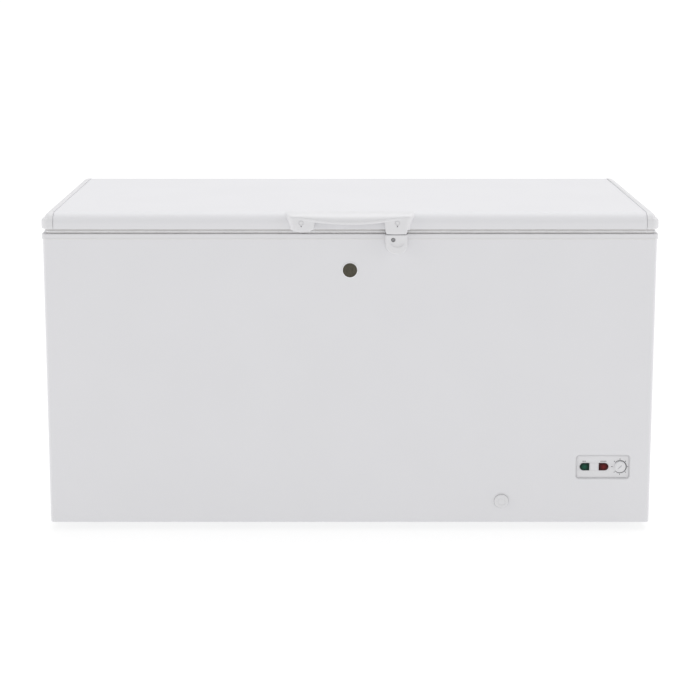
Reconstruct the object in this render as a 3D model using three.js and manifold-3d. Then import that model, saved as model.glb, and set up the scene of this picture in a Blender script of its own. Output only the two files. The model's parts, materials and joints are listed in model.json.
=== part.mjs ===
// A chest freezer: foamed steel cabinet, hinged lid, compressor bay under a step in the tub.
// Millimetres, +Z up, +X to the right of a person facing the front, front towards -Y.
// The origin is on the floor, under the middle of the freezer.
import * as THREE from 'three';
import { mergeVertices } from 'three/addons/utils/BufferGeometryUtils.js';
import Module from 'manifold-3d';

const wasm = await Module();
wasm.setup();

// ---- driving dimensions ----
const GAP = 0.3; // clearance between touching pieces
const SHEET = 0.8; // steel and aluminium sheet
const FOOT_HEIGHT = 20;
const BODY = { width: 1536, depth: 690, corner: 9 };
const TRIM = { width: 1541, depth: 692, corner: 10, low: 757, ledge: 764, high: 770 };
const LID = { width: 1543, depth: 700, low: 782, high: 823, capWidth: 30.5, frontRoll: 22, rearRoll: 12 };
const TUB = { length: 1396, width: 550, floor: 100, corner: 24 };
const STEP = { length: 250, top: 380 }; // raised floor over the compressor bay
const BAY = { left: 505, top: 310 }; // compressor bay, open to the right and rear of these
const LEDGE = 12; // width of the basket ledge round the tub
const HINGE = { y: 362, z: 776, knuckle: 9, pin: 4, spread: 520 };
const HANDLE = { half: 161.5, reach: 371, foot: 363, top: LID.high };
const LOCK = { x: 115.5, width: 55, keyX: 107.5, keyZ: 757, low: 721 };
const PANEL = { x: 646, z: 167, width: 138, height: 63, corner: 9, depth: 4 };
const DRAIN = { x: 388, z: 77, y: -250, radius: 9 };
const BASKET = { length: 230, width: 524, low: 545, high: 752, wire: 4, x: 560 };
const BADGE = { z: 678, radius: 18 };
const CORD = { x: 525, z: 60, radius: 9 }; // outlet of the mains lead in the rear panel
const PLUG = { x: 680, y: 252, low: TRIM.high }; // half sizes of the pan on the lid's inner face

const FRONT = -BODY.depth / 2;
const REAR = BODY.depth / 2;
const LINER_TOP = TRIM.ledge - 3;
const BOTTOM = FOOT_HEIGHT;

// ---- solids ----
function solid(geometry) {
  const bare = geometry.clone();
  bare.deleteAttribute('normal');
  bare.deleteAttribute('uv');
  const merged = mergeVertices(bare, 1e-4);
  return new wasm.Manifold(new wasm.Mesh({
    numProp: 3,
    vertProperties: new Float32Array(merged.attributes.position.array),
    triVerts: new Uint32Array(merged.index.array),
  }));
}

function geometryOf(body) {
  const mesh = body.getMesh();
  const geometry = new THREE.BufferGeometry();
  geometry.setAttribute('position', new THREE.BufferAttribute(new Float32Array(mesh.vertProperties), 3));
  geometry.setIndex(new THREE.BufferAttribute(new Uint32Array(mesh.triVerts), 1));
  geometry.computeVertexNormals();
  return geometry;
}

// Block between two corners
function block(x0, x1, y0, y1, z0, z1) {
  const geometry = new THREE.BoxGeometry(x1 - x0, y1 - y0, z1 - z0);
  geometry.translate((x0 + x1) / 2, (y0 + y1) / 2, (z0 + z1) / 2);
  return solid(geometry);
}

// Block centred on X and Y
function slab(width, depth, z0, z1) {
  return block(-width / 2, width / 2, -depth / 2, depth / 2, z0, z1);
}

// Plan outline (x, y) raised from z0 to z1
function upwards(shape, z0, z1, curveSegments = 5) {
  const geometry = new THREE.ExtrudeGeometry(shape, { depth: z1 - z0, bevelEnabled: false, curveSegments });
  geometry.translate(0, 0, z0);
  return solid(geometry);
}

// Side outline (y, z) drawn out from x0 to x1
function sideways(shape, x0, x1, curveSegments = 6) {
  const geometry = new THREE.ExtrudeGeometry(shape, { depth: x1 - x0, bevelEnabled: false, curveSegments });
  const turn = new THREE.Matrix4().makeBasis(
    new THREE.Vector3(0, 1, 0), new THREE.Vector3(0, 0, 1), new THREE.Vector3(1, 0, 0),
  );
  geometry.applyMatrix4(turn.setPosition(x0, 0, 0));
  return solid(geometry);
}

// Front outline (x, z) drawn out from y0 to y1
function backwards(shape, y0, y1, curveSegments = 6) {
  const geometry = new THREE.ExtrudeGeometry(shape, { depth: y1 - y0, bevelEnabled: false, curveSegments });
  const turn = new THREE.Matrix4().makeBasis(
    new THREE.Vector3(1, 0, 0), new THREE.Vector3(0, 0, 1), new THREE.Vector3(0, -1, 0),
  );
  geometry.applyMatrix4(turn.setPosition(0, y1, 0));
  return solid(geometry);
}

// Rounded rectangle; corners is one radius, or [lower left, lower right, upper right, upper left]
function roundedRectangle(x0, x1, y0, y1, corners) {
  const [a, b, c, d] = Array.isArray(corners) ? corners : [corners, corners, corners, corners];
  const shape = new THREE.Shape();
  shape.moveTo(x0 + a, y0);
  shape.lineTo(x1 - b, y0);
  if (b) shape.absarc(x1 - b, y0 + b, b, -Math.PI / 2, 0);
  shape.lineTo(x1, y1 - c);
  if (c) shape.absarc(x1 - c, y1 - c, c, 0, Math.PI / 2);
  shape.lineTo(x0 + d, y1);
  if (d) shape.absarc(x0 + d, y1 - d, d, Math.PI / 2, Math.PI);
  shape.lineTo(x0, y0 + a);
  if (a) shape.absarc(x0 + a, y0 + a, a, Math.PI, Math.PI * 1.5);
  return shape;
}

function centredRectangle(width, height, corner) {
  return roundedRectangle(-width / 2, width / 2, -height / 2, height / 2, corner);
}

// Round rod from one point to another
function rod(from, to, radius, sides = 12) {
  const start = new THREE.Vector3(...from);
  const run = new THREE.Vector3(...to).sub(start);
  const geometry = new THREE.CylinderGeometry(radius, radius, run.length(), sides);
  geometry.applyQuaternion(new THREE.Quaternion().setFromUnitVectors(
    new THREE.Vector3(0, 1, 0), run.clone().normalize(),
  ));
  geometry.translate(...start.addScaledVector(run, 0.5).toArray());
  return solid(geometry);
}

// Bent round tube: rods with a ball at each bend
function bentRod(points, radius, sides = 6) {
  let body = rod(points[0], points[1], radius, sides);
  for (let i = 1; i < points.length - 1; i += 1) {
    const ball = new THREE.SphereGeometry(radius, sides, 4).translate(...points[i]);
    body = body.add(solid(ball)).add(rod(points[i], points[i + 1], radius, sides));
  }
  return body;
}

// ---- materials ----
function material(color, roughness, metalness = 0) {
  return new THREE.MeshStandardMaterial({ color, roughness, metalness });
}

const whitePaint = () => material(0xe6e6e9, 0.35, 0.1);
const whitePlastic = () => material(0xe9e9ec, 0.45);
const greySteel = () => material(0x9b9ea1, 0.4, 0.8);
const blackPaint = () => material(0x1c1d1f, 0.5, 0.2);
const copper = () => material(0xb87050, 0.35, 0.9);
const foamYellow = () => material(0xdfc98a, 0.95);
const softGrey = () => material(0xc9cacd, 0.8);
const blackRubber = () => material(0x202022, 0.85);
const embossedAluminium = () => material(0xd9dcdf, 0.4, 0.5);
const bronze = () => material(0x5a5648, 0.35, 0.8);
const greenLens = () => material(0x1f4234, 0.2);
const redLens = () => material(0x4c1c1b, 0.2);

function piece(name, body, finish) {
  const mesh = new THREE.Mesh(geometryOf(body), finish);
  mesh.name = name;
  return mesh;
}

function placed(mesh, x, y, z) {
  mesh.position.set(x, y, z);
  return mesh;
}

// ---- cabinet shell ----
const OPENING_REAR = { left: 560, right: 742, low: 55, high: 285 };

// Painted sheet round the left side, front and right side, with narrow returns at the rear
function cabinetWrap() {
  const half = BODY.width / 2;
  const outer = roundedRectangle(-half, half, FRONT, REAR, [BODY.corner, BODY.corner, 0, 0]);
  const inner = roundedRectangle(
    -BODY.width / 2 + SHEET, BODY.width / 2 - SHEET, FRONT + SHEET, REAR - SHEET,
    [BODY.corner - SHEET, BODY.corner - SHEET, 0, 0],
  );
  const high = TRIM.low + 4;
  const rearWindow = slab(BODY.width - 34, 20, BOTTOM - 1, high + 1).translate(0, REAR, 0);
  const panelHole = roundedRectangle(
    PANEL.x - PANEL.width / 2 - GAP, PANEL.x + PANEL.width / 2 + GAP,
    PANEL.z - PANEL.height / 2 - GAP, PANEL.z + PANEL.height / 2 + GAP, PANEL.corner,
  );
  return upwards(outer, BOTTOM, high)
    .subtract(upwards(inner, BOTTOM - 1, high + 1))
    .subtract(rearWindow)
    .subtract(backwards(panelHole, FRONT - 5, FRONT + 5))
    .subtract(rod([DRAIN.x, FRONT - 5, DRAIN.z], [DRAIN.x, FRONT + 5, DRAIN.z], DRAIN.radius + 1, 20));
}

function backPanel() {
  const half = BODY.width / 2 - SHEET - GAP;
  const y = REAR - SHEET - GAP;
  return block(-half, half, y - SHEET, y, BOTTOM + 2, TRIM.low + 3)
    .subtract(block(OPENING_REAR.left, OPENING_REAR.right, y - 5, y + 5, OPENING_REAR.low, OPENING_REAR.high))
    .subtract(rod([CORD.x, y - 5, CORD.z], [CORD.x, y + 5, CORD.z], CORD.radius + GAP, 16));
}

// Galvanised floor plate, slotted under the compressor bay
function basePan() {
  const inset = SHEET + GAP;
  const outline = centredRectangle(BODY.width - 2 * inset, BODY.depth - 2 * inset - 4, BODY.corner);
  let body = upwards(outline, BOTTOM, BOTTOM + 1.5, 3);
  for (let i = 0; i < 6; i += 1) {
    const y = -180 + i * 40;
    body = body.subtract(block(560, 720, y, y + 12, BOTTOM - 1, BOTTOM + 3));
  }
  return body;
}

function foot() {
  const top = FOOT_HEIGHT - GAP;
  const profile = [[0, 0], [20, 0], [24, 4], [24, 9], [17, 13], [17, top], [0, top]];
  const geometry = new THREE.LatheGeometry(profile.map(([r, h]) => new THREE.Vector2(r, h)), 12);
  return solid(geometry.rotateX(Math.PI / 2));
}

// Tub with its compressor step, grown outwards by a margin
function tubBlock(margin, top, floor = TUB.floor - margin) {
  const outline = centredRectangle(TUB.length + 2 * margin, TUB.width + 2 * margin, TUB.corner + margin);
  const stepLeft = TUB.length / 2 - STEP.length + margin;
  const reach = TUB.width + 100;
  return upwards(outline, floor, top, 4)
    .subtract(block(stepLeft, TUB.length, -reach, reach, floor - 1, STEP.top - margin));
}

// Foam between the shell and the tub; tube spaces stay free beside both
function cabinetFoam() {
  const inset = SHEET + GAP;
  const tubeSpace = 7;
  const top = LINER_TOP - 2;
  const evaporatorSpace = slab(TUB.length + 20, TUB.width + 20, STEP.top + 20, top + 1);
  const front = FRONT + inset + tubeSpace;
  const rear = REAR - 2 * inset - GAP;
  return block(-BODY.width / 2 + inset, BODY.width / 2 - inset, front, rear, BOTTOM + 2, top)
    .subtract(tubBlock(SHEET + GAP, top + 1))
    .subtract(evaporatorSpace)
    .subtract(block(BAY.left, BODY.width, FRONT, REAR, 0, BAY.top))
    .subtract(bentRod(drainRoute(0), DRAIN.radius + GAP, 12));
}

// Embossed sheet tub with a flange under the trim
function innerLiner() {
  const flange = upwards(
    centredRectangle(TUB.length + 44, TUB.width + 44, TUB.corner + 22), LINER_TOP - SHEET, LINER_TOP, 4,
  );
  const drainHole = rod(
    [DRAIN.x, DRAIN.y, TUB.floor - 5], [DRAIN.x, DRAIN.y, TUB.floor + 5], DRAIN.radius + GAP, 16,
  );
  return tubBlock(SHEET, LINER_TOP)
    .add(flange)
    .subtract(tubBlock(0, LINER_TOP + 1))
    .subtract(drainHole);
}

// Plastic frame over the top of the walls, with a lip outside and a basket ledge inside
function topTrim() {
  const outer = centredRectangle(TRIM.width, TRIM.depth, TRIM.corner);
  const [halfWidth, halfDepth] = [BODY.width / 2 + GAP, BODY.depth / 2 + GAP];
  const lipSpace = roundedRectangle(
    -halfWidth, halfWidth, -halfDepth, halfDepth, [BODY.corner, BODY.corner, 0, 0],
  );
  const mouth = centredRectangle(TUB.length, TUB.width, TUB.corner);
  const rabbet = centredRectangle(TUB.length + 2 * LEDGE, TUB.width + 2 * LEDGE, TUB.corner + LEDGE);
  return upwards(outer, TRIM.low, TRIM.high)
    .subtract(upwards(lipSpace, TRIM.low - 1, TRIM.low + 4.5))
    .subtract(upwards(mouth, TRIM.low - 1, TRIM.high + 1, 4))
    .subtract(upwards(rabbet, TRIM.ledge, TRIM.high + 1, 4));
}

// ---- refrigeration ----
const COMPRESSOR = { x: 635, y: 170, radius: 78, plate: BOTTOM + 2, feet: BOTTOM + 17 };

function condenserTube() {
  const y = FRONT + SHEET + GAP + 3;
  const rows = 6;
  const points = [];
  for (let row = 0; row < rows; row += 1) {
    const z = 250 + row * 88;
    const side = row % 2 ? 1 : -1;
    points.push([-side * 700, y, z], [side * 700, y, z]);
  }
  return bentRod(points, 2.5);
}

function evaporatorTube() {
  const x = TUB.length / 2 + SHEET + 4.6;
  const y = TUB.width / 2 + SHEET + 4.6;
  const points = [];
  for (let turn = 0; turn < 3; turn += 1) {
    const z = 440 + turn * 120;
    const ring = [[-x, y], [-x, -y], [x, -y], [x, y], [-x + 30, y]];
    points.push(...ring.map(([px, py]) => [px, py, z]));
  }
  return bentRod(points, 3.5);
}

function compressorPlate() {
  return block(-100, 100, -100, 100, COMPRESSOR.plate, COMPRESSOR.plate + 3);
}

function compressorMount() {
  return rod([0, 0, COMPRESSOR.plate + 3 + GAP], [0, 0, COMPRESSOR.feet - GAP], 11);
}

// Welded steel can with a foot plate
function compressorShell() {
  const r = COMPRESSOR.radius;
  const profile = [[0, 0], [r - 16, 0], [r, 16], [r, 104], [r - 8, 128], [r - 34, 148], [0, 154]];
  const outline = profile.map(([a, h]) => new THREE.Vector2(a, h));
  const can = new THREE.LatheGeometry(outline, 24).rotateX(Math.PI / 2);
  can.translate(0, 0, COMPRESSOR.feet + 2);
  const plate = upwards(centredRectangle(180, 180, 16), COMPRESSOR.feet, COMPRESSOR.feet + 3, 3);
  return solid(can).add(plate);
}

function relayBox() {
  const y = -COMPRESSOR.radius - GAP;
  return block(-28, 28, y - 34, y, COMPRESSOR.feet + 30, COMPRESSOR.feet + 86);
}

function dischargePipe() {
  const z = COMPRESSOR.feet + 118;
  return bentRod([[555, 170, z], [535, 170, z], [535, -60, z], [535, -60, BAY.top - 12]], 3);
}

function suctionPipe() {
  const z = COMPRESSOR.feet + 96;
  return bentRod([[714, 170, z], [735, 170, z], [735, 170, BAY.top - 20], [735, 60, BAY.top - 20]], 4);
}

function filterDrier() {
  const profile = [[0, 0], [3, 0], [3, 12], [9, 22], [9, 92], [3, 102], [3, 114], [0, 114]];
  const geometry = new THREE.LatheGeometry(profile.map(([r, h]) => new THREE.Vector2(r, h)), 12);
  return solid(geometry.rotateX(Math.PI / 2));
}

// Slotted sheet over the rear opening of the compressor bay
function rearGrille() {
  const y = REAR + GAP;
  const margin = 15;
  let body = block(
    OPENING_REAR.left - margin, OPENING_REAR.right + margin, y, y + 1,
    OPENING_REAR.low - margin, OPENING_REAR.high + margin,
  );
  const middle = (OPENING_REAR.left + OPENING_REAR.right) / 2;
  for (let row = 0; row < 10; row += 1) {
    const z = OPENING_REAR.low + 10 + row * 21;
    for (const side of [-1, 1]) {
      const x = middle + side * 44;
      body = body.subtract(block(x - 38, x + 38, y - 2, y + 3, z, z + 9));
    }
  }
  return body;
}

// Grommet where the mains lead would leave the rear panel
function cordGland() {
  const y = REAR - SHEET - GAP;
  return rod([CORD.x, y - 6, CORD.z], [CORD.x, y + 10, CORD.z], CORD.radius, 16)
    .add(rod([CORD.x, y + GAP, CORD.z], [CORD.x, y + 3, CORD.z], CORD.radius + 4, 16))
    .subtract(rod([CORD.x, y - 8, CORD.z], [CORD.x, y + 12, CORD.z], 4, 12));
}

// ---- drain ----
// From the tub floor, down and out to the front panel
function drainRoute(retreat) {
  return [
    [DRAIN.x, DRAIN.y, TUB.floor - SHEET - GAP], [DRAIN.x, DRAIN.y, DRAIN.z],
    [DRAIN.x, FRONT + SHEET + retreat, DRAIN.z],
  ];
}

function drainTube() {
  const wall = 1.6;
  const [top, bend, mouth] = drainRoute(1);
  const boreTop = [top[0], top[1], top[2] + 2];
  const boreMouth = [mouth[0], mouth[1] - 2, mouth[2]];
  return bentRod([top, bend, mouth], DRAIN.radius, 12)
    .subtract(bentRod([boreTop, bend, boreMouth], DRAIN.radius - wall, 12));
}

// Stopper in the tub floor with a lifting tab
function drainPlug() {
  return rod([0, 0, -12], [0, 0, 1], 6.4, 16)
    .add(rod([0, 0, 0.4], [0, 0, 3.4], 13, 20))
    .add(block(-7, 7, -1.5, 1.5, 3, 9));
}

// Push-in cap over the outlet in the front panel
function drainCap() {
  return rod([0, -4.3, 0], [0, -GAP, 0], 18, 32)
    .add(rod([0, -0.5, 0], [0, 14, 0], 6.6, 16))
    .subtract(rod([0, -5, 0], [0, -3.3, 0], 10, 24))
    .add(rod([0, -3.8, 0], [0, -3, 0], 8, 24));
}

// ---- control panel, in its own frame: x and z from the panel's centre, y = 0 on the front sheet ----
const LENS = { height: 17, greenX: -46.5, blankX: -22, redX: 2.5, length: 24 };
const KNOB = { x: 44, radius: 14.5 };

function lensOutline(x, side) {
  const h = LENS.height / 2;
  const corners = side < 0 ? [h, 0, 0, h] : [0, h, h, 0];
  const rounded = side ? corners.map((c) => c * 0.98) : 0;
  return roundedRectangle(x - LENS.length / 2, x + LENS.length / 2, -h, h, rounded);
}

// Recessed tray held behind the front sheet by its flange
function controlBezel() {
  const face = centredRectangle(PANEL.width, PANEL.height, PANEL.corner);
  const recess = centredRectangle(PANEL.width - 3, PANEL.height - 3, PANEL.corner - 1.5);
  const flange = centredRectangle(PANEL.width + 16, PANEL.height + 16, PANEL.corner);
  const lensWindow = roundedRectangle(
    LENS.greenX - LENS.length / 2 - GAP, LENS.redX + LENS.length / 2 + GAP,
    -LENS.height / 2 - GAP, LENS.height / 2 + GAP, LENS.height * 0.49,
  );
  return backwards(face, 0.1, PANEL.depth + 2, 4)
    .add(backwards(flange, SHEET + GAP, SHEET + GAP + 2, 1))
    .subtract(backwards(recess, -1, PANEL.depth, 4))
    .subtract(backwards(lensWindow, 0, PANEL.depth + 4, 5))
    .subtract(rod([KNOB.x, 0, 0], [KNOB.x, PANEL.depth + 4, 0], 4, 12));
}

function lens(side) {
  const x = side < 0 ? LENS.greenX : LENS.redX;
  return backwards(lensOutline(x, side), PANEL.depth - 2, PANEL.depth + 8);
}

function blankCover() {
  return backwards(lensOutline(LENS.blankX, 0), PANEL.depth - 1.2, PANEL.depth + 4)
    .intersect(block(LENS.blankX - 12.2, LENS.blankX + 12.2, -5, 20, -20, 20));
}

// Dial with a coin slot
function thermostatKnob() {
  const slot = block(-9, 9, -2, 1.2, -1, 1).rotate([0, -45, 0]);
  return rod([0, 0, 0], [0, PANEL.depth - GAP, 0], KNOB.radius, 32).subtract(slot);
}

function thermostatShaft() {
  return rod([0, PANEL.depth, 0], [0, PANEL.depth + 12, 0], 3, 12);
}

function thermostatBody() {
  return block(-20, 20, PANEL.depth + 13, PANEL.depth + 38, -16, 16)
    .add(rod([0, PANEL.depth + 6.5, 0], [0, PANEL.depth + 14, 0], 7, 12))
    .subtract(rod([0, 0, 0], [0, PANEL.depth + 13, 0], 3 + GAP, 12));
}

function badgeDisc() {
  const r = BADGE.radius;
  const profile = [[0, 0.4], [r - 1, 0.4], [r, 1.2], [r, 2.4], [r - 1.6, 2.8], [r - 2.2, 2.2], [0, 2.2]];
  const geometry = new THREE.LatheGeometry(profile.map(([a, h]) => new THREE.Vector2(a, h)), 32);
  return solid(geometry.rotateX(Math.PI));
}

// ---- lid ----
// Side outline of the lid, inset evenly, open side down
function lidOutline(inset, low) {
  const front = -LID.depth / 2 + inset;
  const rear = LID.depth / 2 - inset;
  const top = LID.high - inset;
  return roundedRectangle(front, rear, low, top, [0, 0, LID.rearRoll - inset, LID.frontRoll - inset]);
}

const SKIN_HALF = LID.width / 2 - LID.capWidth;

function lidSkin() {
  return sideways(lidOutline(0, LID.low), -SKIN_HALF + GAP, SKIN_HALF - GAP)
    .subtract(sideways(lidOutline(SHEET, LID.low - 1), -SKIN_HALF, SKIN_HALF));
}

// Moulded cap at the lid's right-hand end: the skin's outline, a rolled shoulder and round plan corners
function lidEndCap() {
  const right = LID.width / 2;
  const shoulder = roundedRectangle(SKIN_HALF - 60, right, LID.low, LID.high, [0, 0, 15.5, 0]);
  const plan = roundedRectangle(SKIN_HALF - 60, right, -LID.depth / 2, LID.depth / 2, [0, 22, 22, 0]);
  const wall = 2.5;
  const hollow = sideways(lidOutline(wall, LID.low + wall), SKIN_HALF - 1, right - 14);
  return sideways(lidOutline(0, LID.low), SKIN_HALF, right)
    .intersect(backwards(shoulder, -LID.depth, LID.depth))
    .intersect(upwards(plan, 0, LID.high + 1, 6))
    .subtract(hollow);
}

function lidFoam() {
  return sideways(lidOutline(SHEET + GAP, LID.low + 2.5), -SKIN_HALF + 1, SKIN_HALF - 1)
    .add(slab(2 * PLUG.x - 6, 2 * PLUG.y - 6, PLUG.low + 2.5, LID.low + 4));
}

// Moulded inner face of the lid, with a raised pan that fills the mouth of the tub
function lidLiner() {
  const edge = SHEET + GAP;
  const wall = 2;
  return slab(2 * SKIN_HALF - 2, LID.depth - 2 * edge, LID.low, LID.low + wall)
    .add(upwards(centredRectangle(2 * PLUG.x, 2 * PLUG.y, 20), PLUG.low + GAP, LID.low + 1, 4))
    .subtract(slab(2 * PLUG.x - 5, 2 * PLUG.y - 5, PLUG.low + GAP + wall - 0.1, LID.low + wall + 1));
}

function lidGasket() {
  const outer = centredRectangle(1516, LID.depth - 26, 12);
  const inner = centredRectangle(1472, LID.depth - 70, 10);
  return upwards(outer, TRIM.high + GAP, LID.low - GAP, 3)
    .subtract(upwards(inner, TRIM.high, LID.low, 3))
    .intersect(slab(LID.width, LID.depth, TRIM.high + GAP, LID.low - GAP));
}

// Section of the grip: it leaves the lid's front roll and ends in a downturned lip in front of the finger gap
function gripSection() {
  const rollY = -LID.depth / 2 + LID.frontRoll;
  const rollZ = LID.high - LID.frontRoll;
  const seat = LID.frontRoll + GAP;
  const start = 7;
  const shape = new THREE.Shape();
  shape.moveTo(rollY - start, HANDLE.top);
  shape.bezierCurveTo(-348, HANDLE.top, -365, 818.5, -HANDLE.reach, 806);
  shape.lineTo(-HANDLE.reach, 799);
  shape.absarc(-HANDLE.reach + 2.2, 799, 2.2, Math.PI, 2 * Math.PI);
  shape.lineTo(-366, 804);
  shape.quadraticCurveTo(-362, 811, -348.1, 811);
  shape.absarc(rollY, rollZ, seat, Math.PI - Math.asin(10 / seat), Math.acos(-start / seat), true);
  return shape;
}

function footSection(low) {
  const back = -LID.depth / 2 - GAP;
  const shape = new THREE.Shape();
  shape.moveTo(back, low);
  shape.lineTo(-HANDLE.foot + 2, low);
  shape.quadraticCurveTo(-HANDLE.foot, low, -HANDLE.foot, low + 3);
  shape.lineTo(-HANDLE.foot, 809);
  shape.lineTo(-356, 816);
  shape.lineTo(-348, 812);
  shape.absarc(-328, 801, LID.frontRoll + GAP, Math.PI - Math.asin(10 / 22.3), Math.PI, false);
  return shape;
}

// Front view of the handle: ends flared towards the top, the grip's lower edge sagging between two feet
function handleFront() {
  const shape = new THREE.Shape();
  shape.moveTo(-HANDLE.half, HANDLE.top + 1);
  shape.quadraticCurveTo(-152, 808, -149, 786);
  shape.quadraticCurveTo(-148, 779, -135, 778);
  shape.quadraticCurveTo(-118, 776, -103, 778.5);
  shape.quadraticCurveTo(-92, 780, -92, 786);
  shape.lineTo(-92, 802);
  shape.quadraticCurveTo(0, 790, 86, 802);
  shape.lineTo(86, 784);
  shape.lineTo(LOCK.x - 26.5, 780);
  shape.lineTo(LOCK.x - 26.5, TRIM.high + 1);
  shape.quadraticCurveTo(LOCK.x, TRIM.high - 0.5, LOCK.x + 26.5, TRIM.high + 1);
  shape.lineTo(LOCK.x + 27.5, 778);
  shape.quadraticCurveTo(147, 782, 149, 792);
  shape.quadraticCurveTo(152, 808, HANDLE.half, HANDLE.top + 1);
  return shape;
}

function handlePlan() {
  const shape = new THREE.Shape();
  shape.moveTo(-HANDLE.half, -320);
  shape.lineTo(-HANDLE.half, -352);
  shape.quadraticCurveTo(-150, -HANDLE.foot, -128, -HANDLE.foot);
  shape.quadraticCurveTo(-70, -HANDLE.reach, 0, -HANDLE.reach);
  shape.quadraticCurveTo(70, -HANDLE.reach, 128, -HANDLE.foot);
  shape.quadraticCurveTo(150, -HANDLE.foot, HANDLE.half, -352);
  shape.lineTo(HANDLE.half, -320);
  return shape;
}

const SCREW = { left: -121.5, right: 117.5, z: 800, radius: 5.5 };

function handle() {
  const y = -HANDLE.foot;
  let body = sideways(gripSection(), -HANDLE.half, HANDLE.half, 5)
    .add(sideways(footSection(776), -HANDLE.half, -92, 4))
    .add(sideways(footSection(TRIM.high), 86, HANDLE.half, 4))
    .intersect(backwards(handleFront(), -400, -300, 8))
    .intersect(upwards(handlePlan(), 700, 900, 8));
  for (const x of [SCREW.left, SCREW.right]) {
    body = body.subtract(rod([x, y - 3, SCREW.z], [x, y + 1.6, SCREW.z], SCREW.radius + GAP, 20));
  }
  return body.subtract(block(BOLT.x - 8, BOLT.x + 8, -359, -353.4, TRIM.high - 1, TRIM.high + 12));
}

function screwCover() {
  return rod([0, 0, 0], [0, 1.3, 0], SCREW.radius, 20);
}

// ---- lock, on the front of the cabinet under the handle's right foot ----
const ROLLER = { radius: 6.2, front: -357.2, back: -347 };
const BOLT = {
  x: LOCK.keyX + ROLLER.radius + GAP + 6, width: 12, thickness: 4, low: 742, high: TRIM.high - 1.2, y: -356.2,
};

function lockHousing() {
  const high = TRIM.high - 0.6;
  const half = LOCK.width / 2;
  const front = roundedRectangle(LOCK.x - half, LOCK.x + half, LOCK.low, high, [26, 20, 1, 1]);
  const channel = block(
    BOLT.x - BOLT.width / 2 - GAP, BOLT.x + BOLT.width / 2 + GAP,
    BOLT.y - BOLT.thickness / 2 - GAP, BOLT.y + BOLT.thickness / 2 + GAP, BOLT.low - 4, high + 2,
  );
  const bore = (y0, y1, radius, sides) => rod(
    [LOCK.keyX, y0, LOCK.keyZ], [LOCK.keyX, y1, LOCK.keyZ], radius, sides,
  );
  return backwards(front, -361, FRONT - 1 - GAP)
    .subtract(channel)
    .subtract(bore(-365, -356, 5.4, 20))
    .subtract(bore(ROLLER.front - GAP, FRONT, ROLLER.radius + GAP, 24));
}

// Key cylinder with a roller that runs along the bolt's edge and carries it up
function lockCylinder() {
  return rod([0, -361.4, 0], [0, ROLLER.front + 1, 0], 5, 20)
    .add(rod([0, ROLLER.front, 0], [0, ROLLER.back, 0], ROLLER.radius, 24))
    .subtract(block(-0.7, 0.7, -363, -360.2, -3, 3));
}

function lockBolt() {
  const [halfWidth, halfDepth] = [BOLT.width / 2, BOLT.thickness / 2];
  return block(
    -halfWidth, halfWidth, BOLT.y - halfDepth, BOLT.y + halfDepth, BOLT.low, BOLT.high,
  );
}

// ---- hinges, in a frame with x = 0 at the hinge's middle ----
const EAR = { inner: 17, thickness: 3 };

function eye(x0, x1, radius = HINGE.knuckle) {
  return rod([x0, HINGE.y, HINGE.z], [x1, HINGE.y, HINGE.z], radius, 12);
}

function hingeBase() {
  const face = REAR + GAP;
  let body = block(-32, 32, face, face + 3, 650, TRIM.low - 1);
  for (const side of [-1, 1]) {
    const x = side * (EAR.inner + EAR.thickness / 2);
    const [x0, x1] = [x - EAR.thickness / 2, x + EAR.thickness / 2];
    const web = new THREE.Shape();
    web.moveTo(face + 2, 700);
    web.lineTo(face + 5, 700);
    web.lineTo(HINGE.y + HINGE.knuckle * 0.95, HINGE.z - 2);
    web.lineTo(HINGE.y - HINGE.knuckle * 0.6, HINGE.z);
    web.lineTo(face + 2, TRIM.low - 4);
    body = body.add(sideways(web, x0, x1)).add(eye(x0, x1));
  }
  return body.subtract(eye(-40, 40, HINGE.pin + GAP));
}

function hingeLeaf() {
  const face = LID.depth / 2 + GAP;
  const web = new THREE.Shape();
  web.moveTo(face, LID.low + 6);
  web.lineTo(HINGE.y - HINGE.knuckle * 0.7, HINGE.z);
  web.lineTo(HINGE.y + HINGE.knuckle * 0.9, HINGE.z + 2);
  web.lineTo(face + 3, LID.low + 20);
  web.lineTo(face, LID.low + 20);
  return block(-28, 28, face, face + 3, LID.low + 5, LID.high - 12)
    .add(sideways(web, -15, -11))
    .add(sideways(web, 11, 15))
    .add(eye(-15, -11))
    .add(eye(11, 15))
    .subtract(eye(-40, 40, HINGE.pin + GAP));
}

function hingePin() {
  return eye(-24, 24, HINGE.pin).add(eye(-26.5, -23, HINGE.pin + 2.5));
}

class Coil extends THREE.Curve {
  constructor(radius, from, to, turns) {
    super();
    Object.assign(this, { radius, from, to, turns });
  }

  getPoint(t, target = new THREE.Vector3()) {
    const angle = t * this.turns * 2 * Math.PI;
    const x = this.from + (this.to - this.from) * t;
    return target.set(x, HINGE.y + this.radius * Math.cos(angle), HINGE.z + this.radius * Math.sin(angle));
  }
}

// Counterbalance spring wound round the pin
function hingeSpring() {
  const wire = new THREE.Shape();
  wire.absarc(0, 0, 1.2, 0, 2 * Math.PI);
  const path = new Coil(HINGE.pin + 2.2, -9, 9, 4);
  return solid(new THREE.ExtrudeGeometry(wire, {
    extrudePath: path, steps: 36, bevelEnabled: false, curveSegments: 3,
  }));
}

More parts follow.
